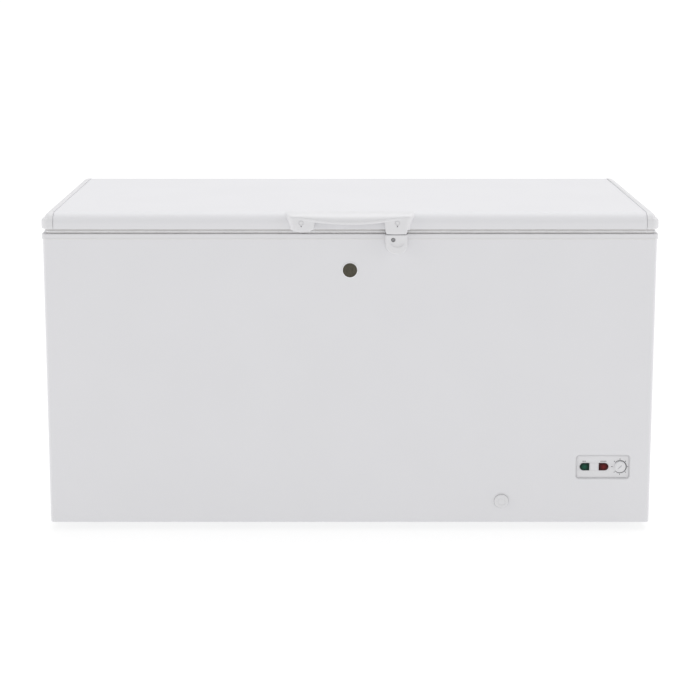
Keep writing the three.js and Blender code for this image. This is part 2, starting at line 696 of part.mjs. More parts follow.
// ---- lift-out basket, in a frame with x = 0 at its middle ----
function basket() {
  const { length, width, low, high, wire } = BASKET;
  const rail = TRIM.ledge + GAP;
  let body = slab(length, width, low, high)
    .subtract(slab(length - 2 * wire, width - 2 * wire, low + wire, high + 1));
  for (const side of [-1, 1]) {
    const across = (half, a, b, z0, z1) => block(
      -half, half, Math.min(side * a, side * b), Math.max(side * a, side * b), z0, z1,
    );
    const inside = width / 2 - wire;
    const outside = width / 2 + 20;
    body = body
      .add(across(70, inside, width / 2, high - 2, rail + wire))
      .add(across(70, inside, outside, rail, rail + wire))
      .add(across(95, outside - wire, outside, rail, rail + wire));
  }
  return body;
}

// ---- assembly ----
function cabinetGroup() {
  const group = new THREE.Group();
  group.add(
    piece('cabinet_wrap', cabinetWrap(), whitePaint()),
    piece('back_panel', backPanel(), greySteel()),
    piece('base_pan', basePan(), greySteel()),
    piece('cabinet_foam', cabinetFoam(), foamYellow()),
    piece('inner_liner', innerLiner(), embossedAluminium()),
    piece('top_trim', topTrim(), whitePlastic()),
    placed(piece('badge_disc', badgeDisc(), bronze()), 0, FRONT, BADGE.z),
    piece('cord_gland', cordGland(), blackRubber()),
  );
  for (const [row, y] of [['front', -240], ['rear', 240]]) {
    for (const [side, x] of [['left', -650], ['right', 650]]) {
      group.add(placed(piece(`foot_${row}_${side}`, foot(), blackRubber()), x, y, 0));
    }
  }
  return group;
}

function refrigerationGroup() {
  const group = new THREE.Group();
  const compressor = new THREE.Group();
  compressor.position.set(COMPRESSOR.x, COMPRESSOR.y, 0);
  compressor.add(
    piece('compressor_plate', compressorPlate(), greySteel()),
    piece('compressor_shell', compressorShell(), blackPaint()),
    piece('compressor_relay', relayBox(), blackRubber()),
  );
  [[-72, -72], [72, -72], [72, 72], [-72, 72]].forEach(([x, y], i) => {
    compressor.add(placed(piece(`compressor_mount_${i + 1}`, compressorMount(), blackRubber()), x, y, 0));
  });
  group.add(
    compressor,
    piece('condenser_tube', condenserTube(), copper()),
    piece('evaporator_tube', evaporatorTube(), copper()),
    piece('discharge_pipe', dischargePipe(), copper()),
    piece('suction_pipe', suctionPipe(), copper()),
    placed(piece('filter_drier', filterDrier(), copper()), 700, -40, 150),
    piece('rear_grille', rearGrille(), greySteel()),
  );
  return group;
}

function drainGroup() {
  const group = new THREE.Group();
  group.add(
    piece('drain_tube', drainTube(), whitePlastic()),
    placed(piece('drain_plug', drainPlug(), softGrey()), DRAIN.x, DRAIN.y, TUB.floor),
    placed(piece('drain_cap', drainCap(), whitePlastic()), DRAIN.x, FRONT, DRAIN.z),
  );
  return group;
}

function controlGroup() {
  const group = new THREE.Group();
  group.position.set(PANEL.x, FRONT, PANEL.z);
  group.add(
    piece('control_bezel', controlBezel(), whitePlastic()),
    piece('green_lens', lens(-1), greenLens()),
    piece('red_lens', lens(1), redLens()),
    piece('blank_cover', blankCover(), whitePlastic()),
    placed(piece('thermostat_knob', thermostatKnob(), whitePlastic()), KNOB.x, 0, 0),
    placed(piece('thermostat_shaft', thermostatShaft(), greySteel()), KNOB.x, 0, 0),
    placed(piece('thermostat_body', thermostatBody(), greySteel()), KNOB.x, 0, 0),
  );
  return group;
}

function lockGroup() {
  const group = new THREE.Group();
  group.add(
    piece('lock_housing', lockHousing(), whitePlastic()),
    placed(piece('lock_cylinder', lockCylinder(), greySteel()), LOCK.keyX, 0, LOCK.keyZ),
    placed(piece('lock_bolt', lockBolt(), greySteel()), BOLT.x, 0, 0),
  );
  return group;
}

function lidGroup() {
  const group = new THREE.Group();
  const leftCap = piece('lid_end_cap_left', lidEndCap().mirror([1, 0, 0]), whitePlastic());
  group.add(
    piece('lid_skin', lidSkin(), whitePaint()),
    leftCap,
    piece('lid_end_cap_right', lidEndCap(), whitePlastic()),
    piece('lid_foam', lidFoam(), foamYellow()),
    piece('lid_liner', lidLiner(), whitePlastic()),
    piece('lid_gasket', lidGasket(), softGrey()),
    piece('handle', handle(), whitePlastic()),
    placed(piece('screw_cover_left', screwCover(), whitePlastic()), SCREW.left, -HANDLE.foot, SCREW.z),
    placed(piece('screw_cover_right', screwCover(), whitePlastic()), SCREW.right, -HANDLE.foot, SCREW.z),
  );
  return group;
}

function hingeGroup(side, x) {
  const group = new THREE.Group();
  group.position.x = x;
  group.add(
    piece(`hinge_base_${side}`, hingeBase(), greySteel()),
    piece(`hinge_leaf_${side}`, hingeLeaf(), greySteel()),
    piece(`hinge_pin_${side}`, hingePin(), greySteel()),
    piece(`hinge_spring_${side}`, hingeSpring(), greySteel()),
  );
  return group;
}

const freezer = new THREE.Group();
freezer.add(
  cabinetGroup(), refrigerationGroup(), drainGroup(), controlGroup(), lockGroup(), lidGroup(),
  hingeGroup('left', -HINGE.spread), hingeGroup('right', HINGE.spread),
  placed(piece('basket_left', basket(), whitePaint()), -BASKET.x, 0, 0),
  placed(piece('basket_right', basket(), whitePaint()), BASKET.x, 0, 0),
);

export default freezer;
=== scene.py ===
"""A chest freezer: its looks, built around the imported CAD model.

Shapes are drawn in millimetres in the CAD frame (+Z up, front towards -Y) and scaled to metres
when their mesh is made. Places come from the boxes of the CAD nodes.
"""
import json
import math

import bmesh
import bpy
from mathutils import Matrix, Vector


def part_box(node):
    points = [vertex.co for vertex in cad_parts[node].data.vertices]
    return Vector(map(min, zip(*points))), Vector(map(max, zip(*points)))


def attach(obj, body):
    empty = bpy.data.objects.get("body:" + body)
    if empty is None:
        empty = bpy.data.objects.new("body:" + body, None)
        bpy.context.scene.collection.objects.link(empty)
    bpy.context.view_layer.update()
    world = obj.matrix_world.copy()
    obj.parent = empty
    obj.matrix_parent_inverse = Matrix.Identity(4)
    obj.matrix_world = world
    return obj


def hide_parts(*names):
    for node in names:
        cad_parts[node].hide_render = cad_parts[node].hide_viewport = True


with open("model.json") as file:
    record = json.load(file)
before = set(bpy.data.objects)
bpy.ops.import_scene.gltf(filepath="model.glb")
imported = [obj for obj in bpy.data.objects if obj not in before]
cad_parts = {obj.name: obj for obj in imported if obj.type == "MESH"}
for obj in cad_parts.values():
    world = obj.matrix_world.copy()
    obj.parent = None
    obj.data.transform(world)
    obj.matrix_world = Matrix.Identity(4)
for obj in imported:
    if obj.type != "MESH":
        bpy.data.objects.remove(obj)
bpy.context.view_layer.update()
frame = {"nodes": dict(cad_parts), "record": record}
scene = bpy.context.scene

MM = 0.001
SHEET = 0.8  # steel and aluminium sheet
GAP = 0.3


class Span:
    """The box of a CAD node in millimetres: x0..x1, y0..y1, z0..z1 and the middles x, y, z."""

    def __init__(self, node):
        low, high = (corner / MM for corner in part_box(node))
        self.x0, self.y0, self.z0 = low
        self.x1, self.y1, self.z1 = high
        self.x, self.y, self.z = (low + high) / 2


WRAP = Span("cabinet_wrap")
TRIM = Span("top_trim")
SKIN = Span("lid_skin")
CAP = Span("lid_end_cap_right")
LINER = Span("inner_liner")
BEZEL = Span("control_bezel")
HANDLE = Span("handle")
HOUSING = Span("lock_housing")
KNOB = Span("thermostat_knob")
FRONT = WRAP.y0
REAR = WRAP.y1
FLANGE = 8  # width of the flange behind the wrap, all round the control panel
TRAY_X = (BEZEL.x1 - BEZEL.x0) / 2 - FLANGE
TRAY_Z = (BEZEL.z1 - BEZEL.z0) / 2 - FLANGE
MOUTH_X = LINER.x1 - 22  # half sizes of the tub's mouth
MOUTH_Y = LINER.y1 - 22


# ---- outlines and shapes
def rounded(u0, u1, v0, v1, corner, steps=6):
    """Rounded rectangle, anticlockwise from its lower left; corner is one radius or four."""
    radii = corner if isinstance(corner, (list, tuple)) else [corner] * 4
    centres = [(u0, v0, 1, 1), (u1, v0, -1, 1), (u1, v1, -1, -1), (u0, v1, 1, -1)]
    points = []
    for i, (u, v, su, sv) in enumerate(centres):
        r = max(radii[i], 1e-3)
        for k in range(steps + 1):
            angle = math.pi + (i + k / steps) * math.pi / 2
            points.append((u + su * r + r * math.cos(angle), v + sv * r + r * math.sin(angle)))
    return points


def centred(half_u, half_v, corner, steps=6):
    return rounded(-half_u, half_u, -half_v, half_v, corner, steps)


def at_z(outline, z, x=0.0, y=0.0):
    return [(u + x, v + y, z) for u, v in outline]


def at_y(outline, y, x=0.0, z=0.0):
    return [(u + x, y, v + z) for u, v in outline]


def at_x(outline, x, y=0.0, z=0.0):
    return [(x, u + y, v + z) for u, v in outline]


def circle(radius, steps=32):
    turns = (2 * math.pi * k / steps for k in range(steps))
    return [(radius * math.cos(t), radius * math.sin(t)) for t in turns]


def smooth(low, high, value):
    """0 below low, 1 above high, an even curve between."""
    t = min(max((value - low) / (high - low), 0.0), 1.0)
    return t * t * (3 - 2 * t)


def foot_round(radius, low, steps):
    """(inset, z) of a quarter round at the foot of a wall."""
    turns = (k / steps * math.pi / 2 for k in range(steps + 1))
    return [(radius * (1 - math.sin(a)), low + radius * (1 - math.cos(a))) for a in turns]


def mix(a, b, t):
    return tuple(p + (q - p) * t for p, q in zip(a, b))


def filleted(points, radius, steps=5, closed=False):
    """A polyline with each bend turned into an arc."""
    points = [Vector(p) for p in points]
    count = len(points)
    path = []
    for i, point in enumerate(points):
        if not closed and i in (0, count - 1):
            path.append(point)
            continue
        back = points[i - 1] - point
        on = points[(i + 1) % count] - point
        turn = back.angle(on)
        if turn > math.pi - 0.02:
            path.append(point)
            continue
        reach = min(radius / math.tan(turn / 2), back.length * 0.49, on.length * 0.49)
        start, end = point + back.normalized() * reach, point + on.normalized() * reach
        for k in range(steps + 1):
            t = k / steps
            path.append(start * (1 - t) ** 2 + point * 2 * t * (1 - t) + end * t * t)
    return path


class Shape:
    """Points in millimetres and faces, gathered until they become one mesh."""

    def __init__(self):
        self.points = []
        self.faces = []

    def loft(self, rings, loop=False, caps=True, closed=True):
        """Skin a row of rings. loop joins the last ring to the first; caps closes both ends."""
        base, size, count = len(self.points), len(rings[0]), len(rings)
        for ring in rings:
            self.points.extend(tuple(p) for p in ring)
        for i in range(count if loop else count - 1):
            a, b = base + i * size, base + (i + 1) % count * size
            for k in range(size if closed else size - 1):
                n = (k + 1) % size
                self.faces.append((a + k, a + n, b + n, b + k))
        if caps and not loop:
            self.faces.append(tuple(range(base + size - 1, base - 1, -1)))
            self.faces.append(tuple(range(base + (count - 1) * size, base + count * size)))
        return self

    def lathe(self, profile, centre, axis="z", steps=32):
        """Turn (radius, height) points about an axis through centre."""
        x, y, z = centre
        place, base, u, v = {
            "x": (at_x, x, y, z), "y": (at_y, y, x, z), "z": (at_z, z, x, y)}[axis]
        return self.loft([place(circle(max(radius, 0.01), steps), base + height, u, v)
                          for radius, height in profile])

    def prism(self, place, outline, low, high, u=0.0, v=0.0):
        """Straight solid between two planes; place is at_x, at_y or at_z."""
        return self.loft([place(outline, low, u, v), place(outline, high, u, v)])

    def frame(self, rows, closed=True):
        """Stack of rounded rectangles (half width, half depth, corner, z) about the middle.

        A closed stack joins its last row to its first, which makes a frame of it.
        """
        rings = [at_z(centred(x, y, r, 8), z) for x, y, r, z in rows]
        return self.loft(rings, loop=closed)

    def tube(self, path, radius, sides=8, closed=False):
        """Round wire or pipe along a path of points."""
        path = [Vector(p) for p in path]
        count = len(path)
        rings, normal = [], None
        for i, point in enumerate(path):
            before = path[i - 1] if closed or i else point
            after = path[(i + 1) % count] if closed or i < count - 1 else point
            tangent = (after - before).normalized()
            if normal is None:
                normal = tangent.orthogonal().normalized()
            normal = (normal - tangent * normal.dot(tangent)).normalized()
            other = tangent.cross(normal)
            rings.append([point + (normal * u + other * v) for u, v in circle(radius, sides)])
        return self.loft(rings, loop=closed)

    def block(self, x0, x1, y0, y1, z0, z1):
        return self.prism(at_z, [(x0, y0), (x1, y0), (x1, y1), (x0, y1)], z0, z1)

    def object(self, name):
        mesh = bpy.data.meshes.new(name)
        mesh.from_pydata([[c * MM for c in p] for p in self.points], [], self.faces)
        work = bmesh.new()
        work.from_mesh(mesh)
        bmesh.ops.remove_doubles(work, verts=work.verts, dist=2e-6)
        bmesh.ops.dissolve_degenerate(work, edges=work.edges, dist=1e-6)
        bmesh.ops.recalc_face_normals(work, faces=work.faces)
        work.to_mesh(mesh)
        work.free()
        result = bpy.data.objects.new(name, mesh)
        scene.collection.objects.link(result)
        return result


def bake(piece):
    """Replace a piece's mesh by what its modifiers make of it."""
    graph = bpy.context.evaluated_depsgraph_get()
    mesh = bpy.data.meshes.new_from_object(piece.evaluated_get(graph))
    old = piece.data
    piece.modifiers.clear()
    piece.data = mesh
    bpy.data.meshes.remove(old)


def combine(piece, shape, operation="DIFFERENCE"):
    other = shape.object(piece.name + "_tool")
    step = piece.modifiers.new("combine", "BOOLEAN")
    step.object = other
    step.operation = operation
    step.solver = "EXACT"
    bake(piece)
    bpy.data.objects.remove(other)


def bevel(piece, width):
    step = piece.modifiers.new("bevel", "BEVEL")
    step.width = width * MM
    step.segments = 2
    step.limit_method = "ANGLE"
    step.angle_limit = math.radians(35)
    step.use_clamp_overlap = True
    bake(piece)


def finish_piece(piece, slot, nodes=(), body="cabinet", sharp=38):
    """Shade and paint a piece, mount it on its body, and let it replace its CAD nodes."""
    mesh = piece.data
    mesh.shade_smooth()
    mesh.set_sharp_from_angle(angle=math.radians(sharp))
    step = piece.modifiers.new("normals", "WEIGHTED_NORMAL")
    step.keep_sharp = True
    mesh.materials.clear()
    mesh.materials.append(MATERIALS[slot])
    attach(piece, body)
    if nodes:
        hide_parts(*nodes)


def build(name, shape, slot, nodes=(), cuts=(), edge=0.0, **rest):
    """Shape to finished piece: cut it, round its edges by edge millimetres, and finish it."""
    piece = shape.object(name)
    for cut in cuts:
        combine(piece, cut)
    if edge:
        bevel(piece, edge)
    finish_piece(piece, slot, nodes, **rest)


# ---- materials
MATERIALS = {}  # by name, filled by surface()


def fill(node, values):
    for socket, value in values.items():
        node.inputs[socket].default_value = value


def surface(
    name, colour, roughness, metallic=0.0, *, shade=0.02, grain=40.0, gloss=0.04, bump=None,
    stretch=(1, 1, 1), coat=0.0, specular=0.5, pattern="noise", glow=0.0,
):
    """Principled material whose colour, roughness and relief vary with noise in object space.

    shade is how far the colour strays from its mean, gloss how far the roughness does, and
    grain is patches per metre. bump is the relief's depth in millimetres and its bumps per metre.
    """
    material = MATERIALS[name] = bpy.data.materials.new(name)
    material.use_nodes = True
    nodes, links = material.node_tree.nodes, material.node_tree.links
    shader = nodes["Principled BSDF"]
    fill(shader, {
        "Metallic": metallic, "Coat Weight": coat, "Coat Roughness": 0.18,
        "Specular IOR Level": specular, "Emission Color": (1, 1, 1, 1),
        "Emission Strength": glow})
    where = nodes.new("ShaderNodeTexCoord")
    scaling = nodes.new("ShaderNodeMapping")
    fill(scaling, {"Scale": stretch})
    links.new(where.outputs["Object"], scaling.inputs["Vector"])

    patches = nodes.new("ShaderNodeTexNoise")
    fill(patches, {"Scale": grain, "Detail": 4})
    links.new(scaling.outputs["Vector"], patches.inputs["Vector"])
    tint = nodes.new("ShaderNodeValToRGB")
    tint.color_ramp.elements[0].position = 0.3
    tint.color_ramp.elements[1].position = 0.7
    tint.color_ramp.elements[0].color = [*(c * (1 - shade) for c in colour), 1]
    tint.color_ramp.elements[1].color = [*(min(c * (1 + shade), 1) for c in colour), 1]
    links.new(patches.outputs["Fac"], tint.inputs["Fac"])
    links.new(tint.outputs["Color"], shader.inputs["Base Color"])

    spread = nodes.new("ShaderNodeMapRange")
    fill(spread, {"To Min": max(roughness - gloss, 0.02), "To Max": min(roughness + gloss, 1)})
    links.new(patches.outputs["Fac"], spread.inputs["Value"])
    links.new(spread.outputs["Result"], shader.inputs["Roughness"])

    if bump:
        depth, fineness = bump
        kind, height = {"cells": ("ShaderNodeTexVoronoi", "Distance"),
                        "noise": ("ShaderNodeTexNoise", "Fac")}[pattern]
        relief = nodes.new(kind)
        fill(relief, {"Scale": fineness})
        links.new(scaling.outputs["Vector"], relief.inputs["Vector"])
        lift = nodes.new("ShaderNodeBump")
        fill(lift, {"Strength": 1.0, "Distance": depth * MM})
        links.new(relief.outputs[height], lift.inputs["Height"])
        links.new(lift.outputs["Normal"], shader.inputs["Normal"])
    return material


def tinted_lens(name, rim, painted_glow_colour):
    """Tinted plastic, painted lighter in the middle over where the bulb sits behind it: a painted
    glow, as if light came through from behind.
    """
    lens, radius = Span(name), 9
    material = surface(name, rim, 0.3, shade=0.1, bump=(0.01, 900), specular=0.16)
    nodes, links = material.node_tree.nodes, material.node_tree.links
    shader = nodes["Principled BSDF"]
    where = nodes.new("ShaderNodeTexCoord")
    placing = nodes.new("ShaderNodeMapping")
    placing.vector_type = "TEXTURE"
    fill(placing, {"Location": [c * MM for c in (lens.x, lens.y0, lens.z)],
                   "Scale": [radius * MM] * 3})
    # painted glow: a round gradient from the rim's dark colour to the lighter middle
    glow = nodes.new("ShaderNodeTexGradient")
    glow.gradient_type = "SPHERICAL"
    blend = nodes.new("ShaderNodeMix")
    blend.data_type = "RGBA"
    fill(blend, {"A": (*rim, 1), "B": (*painted_glow_colour, 1)})
    links.new(where.outputs["Object"], placing.inputs["Vector"])
    links.new(placing.outputs["Vector"], glow.inputs["Vector"])
    links.new(glow.outputs["Fac"], blend.inputs["Factor"])
    links.new(blend.outputs["Result"], shader.inputs["Base Color"])



WHITE = (0.80, 0.798, 0.818)
surface("white_paint", WHITE, 0.5, shade=0.006, grain=6, bump=(0.006, 700), specular=0.1)
surface("white_plastic", (0.78, 0.777, 0.792), 0.45, shade=0.008, grain=18, bump=(0.008, 1500),
        specular=0.3)
surface("liner_plastic", (0.83, 0.83, 0.83), 0.38, shade=0.01, grain=9, bump=(0.02, 350))
surface("coated_wire", (0.84, 0.84, 0.84), 0.3, shade=0.015, grain=60, bump=(0.02, 400),
        coat=0.4)
surface("liner_sheet", (0.80, 0.81, 0.82), 0.34, 0.35, shade=0.02, grain=12, bump=(0.35, 210),
        pattern="cells")
surface("zinc_steel", (0.56, 0.57, 0.59), 0.38, 0.9, shade=0.12, grain=90, gloss=0.1,
        bump=(0.02, 160), pattern="cells")
surface("hinge_steel", (0.72, 0.72, 0.73), 0.4, 0.2, shade=0.03, grain=50, bump=(0.02, 900))
surface("bright_steel", (0.62, 0.62, 0.63), 0.25, 1.0, shade=0.06, grain=300, gloss=0.08,
        bump=(0.01, 900), stretch=(0.2, 1, 1))
surface("lock_metal", (0.30, 0.30, 0.31), 0.32, 1.0, shade=0.12, grain=500, gloss=0.08,
        bump=(0.015, 1400))
surface("foam", (0.72, 0.62, 0.36), 0.9, shade=0.12, grain=60, bump=(0.6, 260),
        pattern="cells")
surface("gasket_rubber", (0.84, 0.84, 0.85), 0.6, shade=0.04, grain=70, bump=(0.02, 1200))
# painted shade: a darker, warmer copy of the gasket's rubber, for the bellows and the trim's seal
# bead that sit in the shaded gap under the lid
surface("gasket_painted_shade", (0.80, 0.785, 0.775), 0.8, shade=0.03, grain=30)
# painted shadow: mid grey for the ring that stands in for the shadow gap round the drain cap
surface("painted_shadow_grey", (0.50, 0.50, 0.51), 0.7, shade=0.05, grain=200)
surface("black_rubber", (0.022, 0.022, 0.024), 0.7, shade=0.25, grain=120, bump=(0.03, 1100))
surface("black_plastic", (0.025, 0.025, 0.028), 0.45, shade=0.15, grain=150, bump=(0.02, 1600))
surface("black_enamel", (0.012, 0.012, 0.014), 0.28, shade=0.3, grain=40, bump=(0.03, 420),
        coat=0.5)
surface("foot_plastic", (0.03, 0.03, 0.033), 0.55, shade=0.2, grain=90, bump=(0.03, 1000))
surface("bronze", (0.085, 0.078, 0.058), 0.42, 0.75, shade=0.28, grain=900, gloss=0.12,
        bump=(0.02, 1500), stretch=(1, 1, 0.18))
surface("satin_rim", (0.88, 0.88, 0.90), 0.35, shade=0.02, grain=200, specular=0.3)
surface("copper", (0.62, 0.30, 0.17), 0.3, 1.0, shade=0.2, grain=70, gloss=0.12, bump=(0.01, 500))
surface("ink", (0.13, 0.13, 0.135), 0.6, shade=0.2, grain=500)
# The floor is a light table: it shines a little, so that shadows on it stay faint
surface("floor", (0.27, 0.27, 0.27), 0.9, shade=0.004, grain=2, specular=0.0, glow=0.79)
# The lenses' lighter middles are a painted glow.
tinted_lens("green_lens", (0.003, 0.022, 0.014), (0.012, 0.105, 0.062))
tinted_lens("red_lens", (0.042, 0.003, 0.004), (0.16, 0.012, 0.012))


# ---- cabinet shell
CORNER = 9
RETURN = 17  # width of the sheet's returns at the rear


def wrap_path(inset):
    """Plan of the sheet: round from the left rear return to the right rear return."""
    half = WRAP.x1 - inset
    outline = rounded(-half, half, FRONT + inset, REAR, [CORNER - inset, CORNER - inset, 0, 0], 8)
    front_half = outline[: 2 * 9]
    back = [(half, REAR - 1.5), (half - 0.45, REAR - 0.45), (half - 1.5, REAR)]
    right = [*back, (WRAP.x1 - RETURN, REAR)]
    left = [(-x, y) for x, y in reversed(right)]
    return left + front_half + right


def cabinet_wrap():
    """Folded sheet with openings for the control panel and the drain."""
    rows = [*foot_round(3.0, WRAP.z0, 5), (0, WRAP.z1)]
    shape = Shape().loft([at_z(wrap_path(i), z) for i, z in rows], caps=False, closed=False)
    piece = shape.object("cabinet_wrap_sheet")
    thicken = piece.modifiers.new("sheet", "SOLIDIFY")
    thicken.thickness = SHEET * MM
    thicken.offset = -1
    thicken.use_even_offset = True
    bake(piece)
    hole = centred(TRAY_X + GAP, TRAY_Z + GAP, 9)
    combine(piece, Shape().prism(at_y, hole, FRONT - 5, FRONT + 5, BEZEL.x, BEZEL.z))
    drain = Span("drain_cap")
    combine(piece, Shape().lathe([(10, -20), (10, 20)], (drain.x, FRONT, drain.z), "y"))
    finish_piece(piece, "white_paint", ["cabinet_wrap"])


def top_trim():
    """Frame on the top of the walls: lip outside, basket ledge inside, rounded edges."""
    low, high, ledge = TRIM.z0, TRIM.z1, TRIM.z0 + 7

    def rows(x, y, steps):
        return [(x + d, y + d, corner, z) for d, corner, z in steps]

    outside = rows(TRIM.x1, TRIM.y1, [
        (-0.4, 9.6, low), (0, 10, low + 0.6), (0, 10, high - 2.2), (-0.6, 9.4, high - 0.7),
        (-2, 8, high)])
    inside = rows(MOUTH_X, MOUTH_Y, [
        (13.2, 37, high), (12, 36, high - 1), (12, 36, ledge + 0.8), (11.4, 35, ledge),
        (1.4, 25.4, ledge), (0, 24, ledge - 1), (0, 24, ledge - 2.5)])
    skirt = rows(WRAP.x1, WRAP.y1, [(GAP, 9, ledge - 2.5), (GAP, 9, low)])
    build("top_trim_frame", Shape().frame(outside + inside + skirt), "white_plastic",
          ["top_trim"])
    # The seal bead under the lip takes the gasket's darker copy: painted shade along the trim's
    # lower edge.
    bead = rows(WRAP.x1, WRAP.y1, [(d, 9 + d, low + z) for d, z in (
        (-0.6, -1.0), (0.9, -1.0), (1.6, -0.4), (1.6, 0.3), (-0.6, 0.3))])
    build("top_trim_seal", Shape().frame(bead), "gasket_painted_shade")


def back_panel():
    """Fluted sheet in the rear frame."""
    panel = Span("back_panel")
    face, flutes, pitch, depth = [(panel.x0, 0)], 15, 96, 1.3
    for i in range(flutes):
        x = (i - (flutes - 1) / 2) * pitch
        face += [(x - 13, 0), (x - 8, depth), (x + 8, depth), (x + 13, 0)]
    face.append((panel.x1, 0))
    ring = [(x, panel.y1 - 0.3 + y) for x, y in face]
    ring += [(x, panel.y1 - 0.3 - SHEET + y) for x, y in reversed(face)]
    bay = Span("rear_grille")
    gland = Span("cord_gland")
    cuts = [
        Shape().block(bay.x0 + 15, bay.x1 - 15, panel.y0 - 9, panel.y1 + 9,
                      bay.z0 + 15, bay.z1 - 15),
        Shape().lathe([(9.3, -20), (9.3, 20)], (gland.x, panel.y, gland.z), "y"),
    ]
    build("back_panel_sheet", Shape().prism(at_z, ring, panel.z0, panel.z1), "zinc_steel",
          ["back_panel"], cuts)


def rear_grille():
    """Louvred cover over the compressor bay, held by four screws."""
    plate = Span("rear_grille")
    outline = rounded(plate.x0, plate.x1, plate.z0, plate.z1, 6)
    shape = Shape().prism(at_y, outline, plate.y0, plate.y1)
    slots, louvres = [], Shape()
    for row in range(10):
        z = plate.z0 + 25 + row * 21
        for x in (plate.x - 44, plate.x + 44):
            slot = rounded(x - 38, x + 38, z, z + 9, 2)
            slots.append(Shape().prism(at_y, slot, plate.y0 - 2, plate.y1 + 2))
            hood = [(0, 9.5)]
            hood += [(5.5 * math.sin(a), 9.5 * math.cos(a)) for a in (0.3, 0.6, 0.9, 1.2, 1.5)]
            inner = [(max(u - 0.8, 0), v - 0.6) for u, v in reversed(hood)]
            ring = [(plate.y1 - 0.4 + u, z + v) for u, v in hood + inner]
            louvres.prism(at_x, ring, x - 36, x + 36)
    build("rear_grille_plate", shape, "zinc_steel", ["rear_grille"], slots)
    build("rear_grille_louvres", louvres, "zinc_steel")
    screws = Shape()
    for x in (plate.x0 + 7, plate.x1 - 7):
        for z in (plate.z0 + 7, plate.z1 - 7):
            screw_head(screws, (x, plate.y1, z), 3.4, 1.6)
    build("rear_grille_screws", screws, "bright_steel")


def screw_head(shape, centre, radius, height, steps=20):
    """Pan head with a round socket, its face towards +Y."""
    shape.lathe(
        [(radius, -0.3), (radius, height * 0.5), (radius * 0.8, height), (radius * 0.5, height),
         (radius * 0.42, height * 0.4)], centre, "y", steps)


def feet():
    for row in ("front", "rear"):
        for side in ("left", "right"):
            node = f"foot_{row}_{side}"
            foot = Span(node)
            profile = [
                (17, 0), (19.5, 0.4), (20, 1.2), (20.5, 2), (23.4, 3.6), (24, 4.6), (24, 8.4),
                (23.2, 9.4), (18, 12.6), (17, 13.6), (17, 19.7),
            ]
            shape = Shape().lathe(profile, (foot.x, foot.y, 0), steps=40)
            build(node + "_turned", shape, "foot_plastic", [node], sharp=30)


def badge():
    """Plain round badge: a brushed disc in a thin bright rim."""
    disc = Span("badge_disc")
    r = (disc.x1 - disc.x0) / 2
    centre = (disc.x, FRONT, disc.z)
    plain = [(r, -0.4), (r, -2.0), (r - 0.5, -2.3), (r * 0.72, -2.3), (r * 0.70, -2.1),
             (r * 0.66, -2.1), (r * 0.64, -2.3), (1, -2.35)]
    rim = [(r + 0.1, -0.4), (r + 2.4, -0.4), (r + 2.2, -0.9), (r + 1.5, -1.5), (r + 0.7, -1.8),
           (r + 0.1, -1.8)]
    build("badge_face", Shape().lathe(plain, centre, "y", 64), "bronze",
          ["badge_disc"], sharp=25)
    rings = [at_y(circle(radius, 64), FRONT + y, disc.x, disc.z) for radius, y in rim]
    build("badge_rim", Shape().loft(rings, loop=True), "satin_rim")


# ---- control panel
LENS_HALF = 9.6  # half the height of the lenses and the blank between them
WINDOW = (-58.5, 14.5)  # sides of the opening for them, from the panel's middle


def bezel():
    field = [(4.0, 4.0), (3.6, 4.3), (3.4, 5.5)]  # tray floor, inside a deep groove
    wall = [(1.5, 5.5), (1.4, 0.9), (1.2, 0.3), (0.9, 0.1), (0.3, 0.1), (0, 0.5), (0, 6)]
    outlines = [(rounded(-TRAY_X + i, TRAY_X - i + 1, -TRAY_Z + i - 1, TRAY_Z - i, 9 - i, 8), y)
                for i, y in field]
    outlines += [(centred(TRAY_X - i, TRAY_Z - i, 9 - i, 8), y) for i, y in wall]
    rings = [at_y(outline, FRONT + y, BEZEL.x, BEZEL.z) for outline, y in outlines]
    h = LENS_HALF + GAP
    window = rounded(WINDOW[0] - GAP, WINDOW[1] + GAP, -h, h, h * 0.98, 8)
    cuts = [
        Shape().prism(at_y, window, FRONT + 2, FRONT + 9, BEZEL.x, BEZEL.z),
        Shape().lathe([(4, 0), (4, 12)], (KNOB.x, FRONT, KNOB.z), "y"),
    ]
    build("control_bezel_tray", Shape().loft(rings), "white_plastic", ["control_bezel"], cuts)


def lenses():
    """Two lamps, each round on its outer side, and a blank cover between them."""
    h = LENS_HALF
    curve, edge = h * 0.98, 0.6
    for node, corners in (("green_lens", [curve, edge, edge, curve]),
                          ("red_lens", [edge, curve, curve, edge])):
        lens = Span(node)
        rings = []
        for i, y in ((0, lens.y1), (0, lens.y0 + 0.8), (0.25, lens.y0 + 0.25), (0.8, lens.y0)):
            outline = rounded(lens.x0 + i, lens.x1 - i, lens.z - h + i, lens.z + h - i,
                              [max(c - i, 0.3) for c in corners], 8)
            rings.append(at_y(outline, y))
        build(node + "_body", Shape().loft(rings), node, [node], sharp=30)
    blank = Span("blank_cover")
    rings = [at_y(rounded(blank.x0 + i, blank.x1 - i, blank.z - h + i, blank.z + h - i, edge), y)
             for i, y in ((0, blank.y1), (0, blank.y0 + 1.0), (0.5, blank.y0 + 0.7))]
    build("blank_cover_plate", Shape().loft(rings), "white_plastic", ["blank_cover"])


def turned(points, angle):
    """Points of an outline turned about its origin, anticlockwise, by an angle in degrees."""
    c, s = math.cos(math.radians(angle)), math.sin(math.radians(angle))
    return [(u * c - v * s, u * s + v * c) for u, v in points]


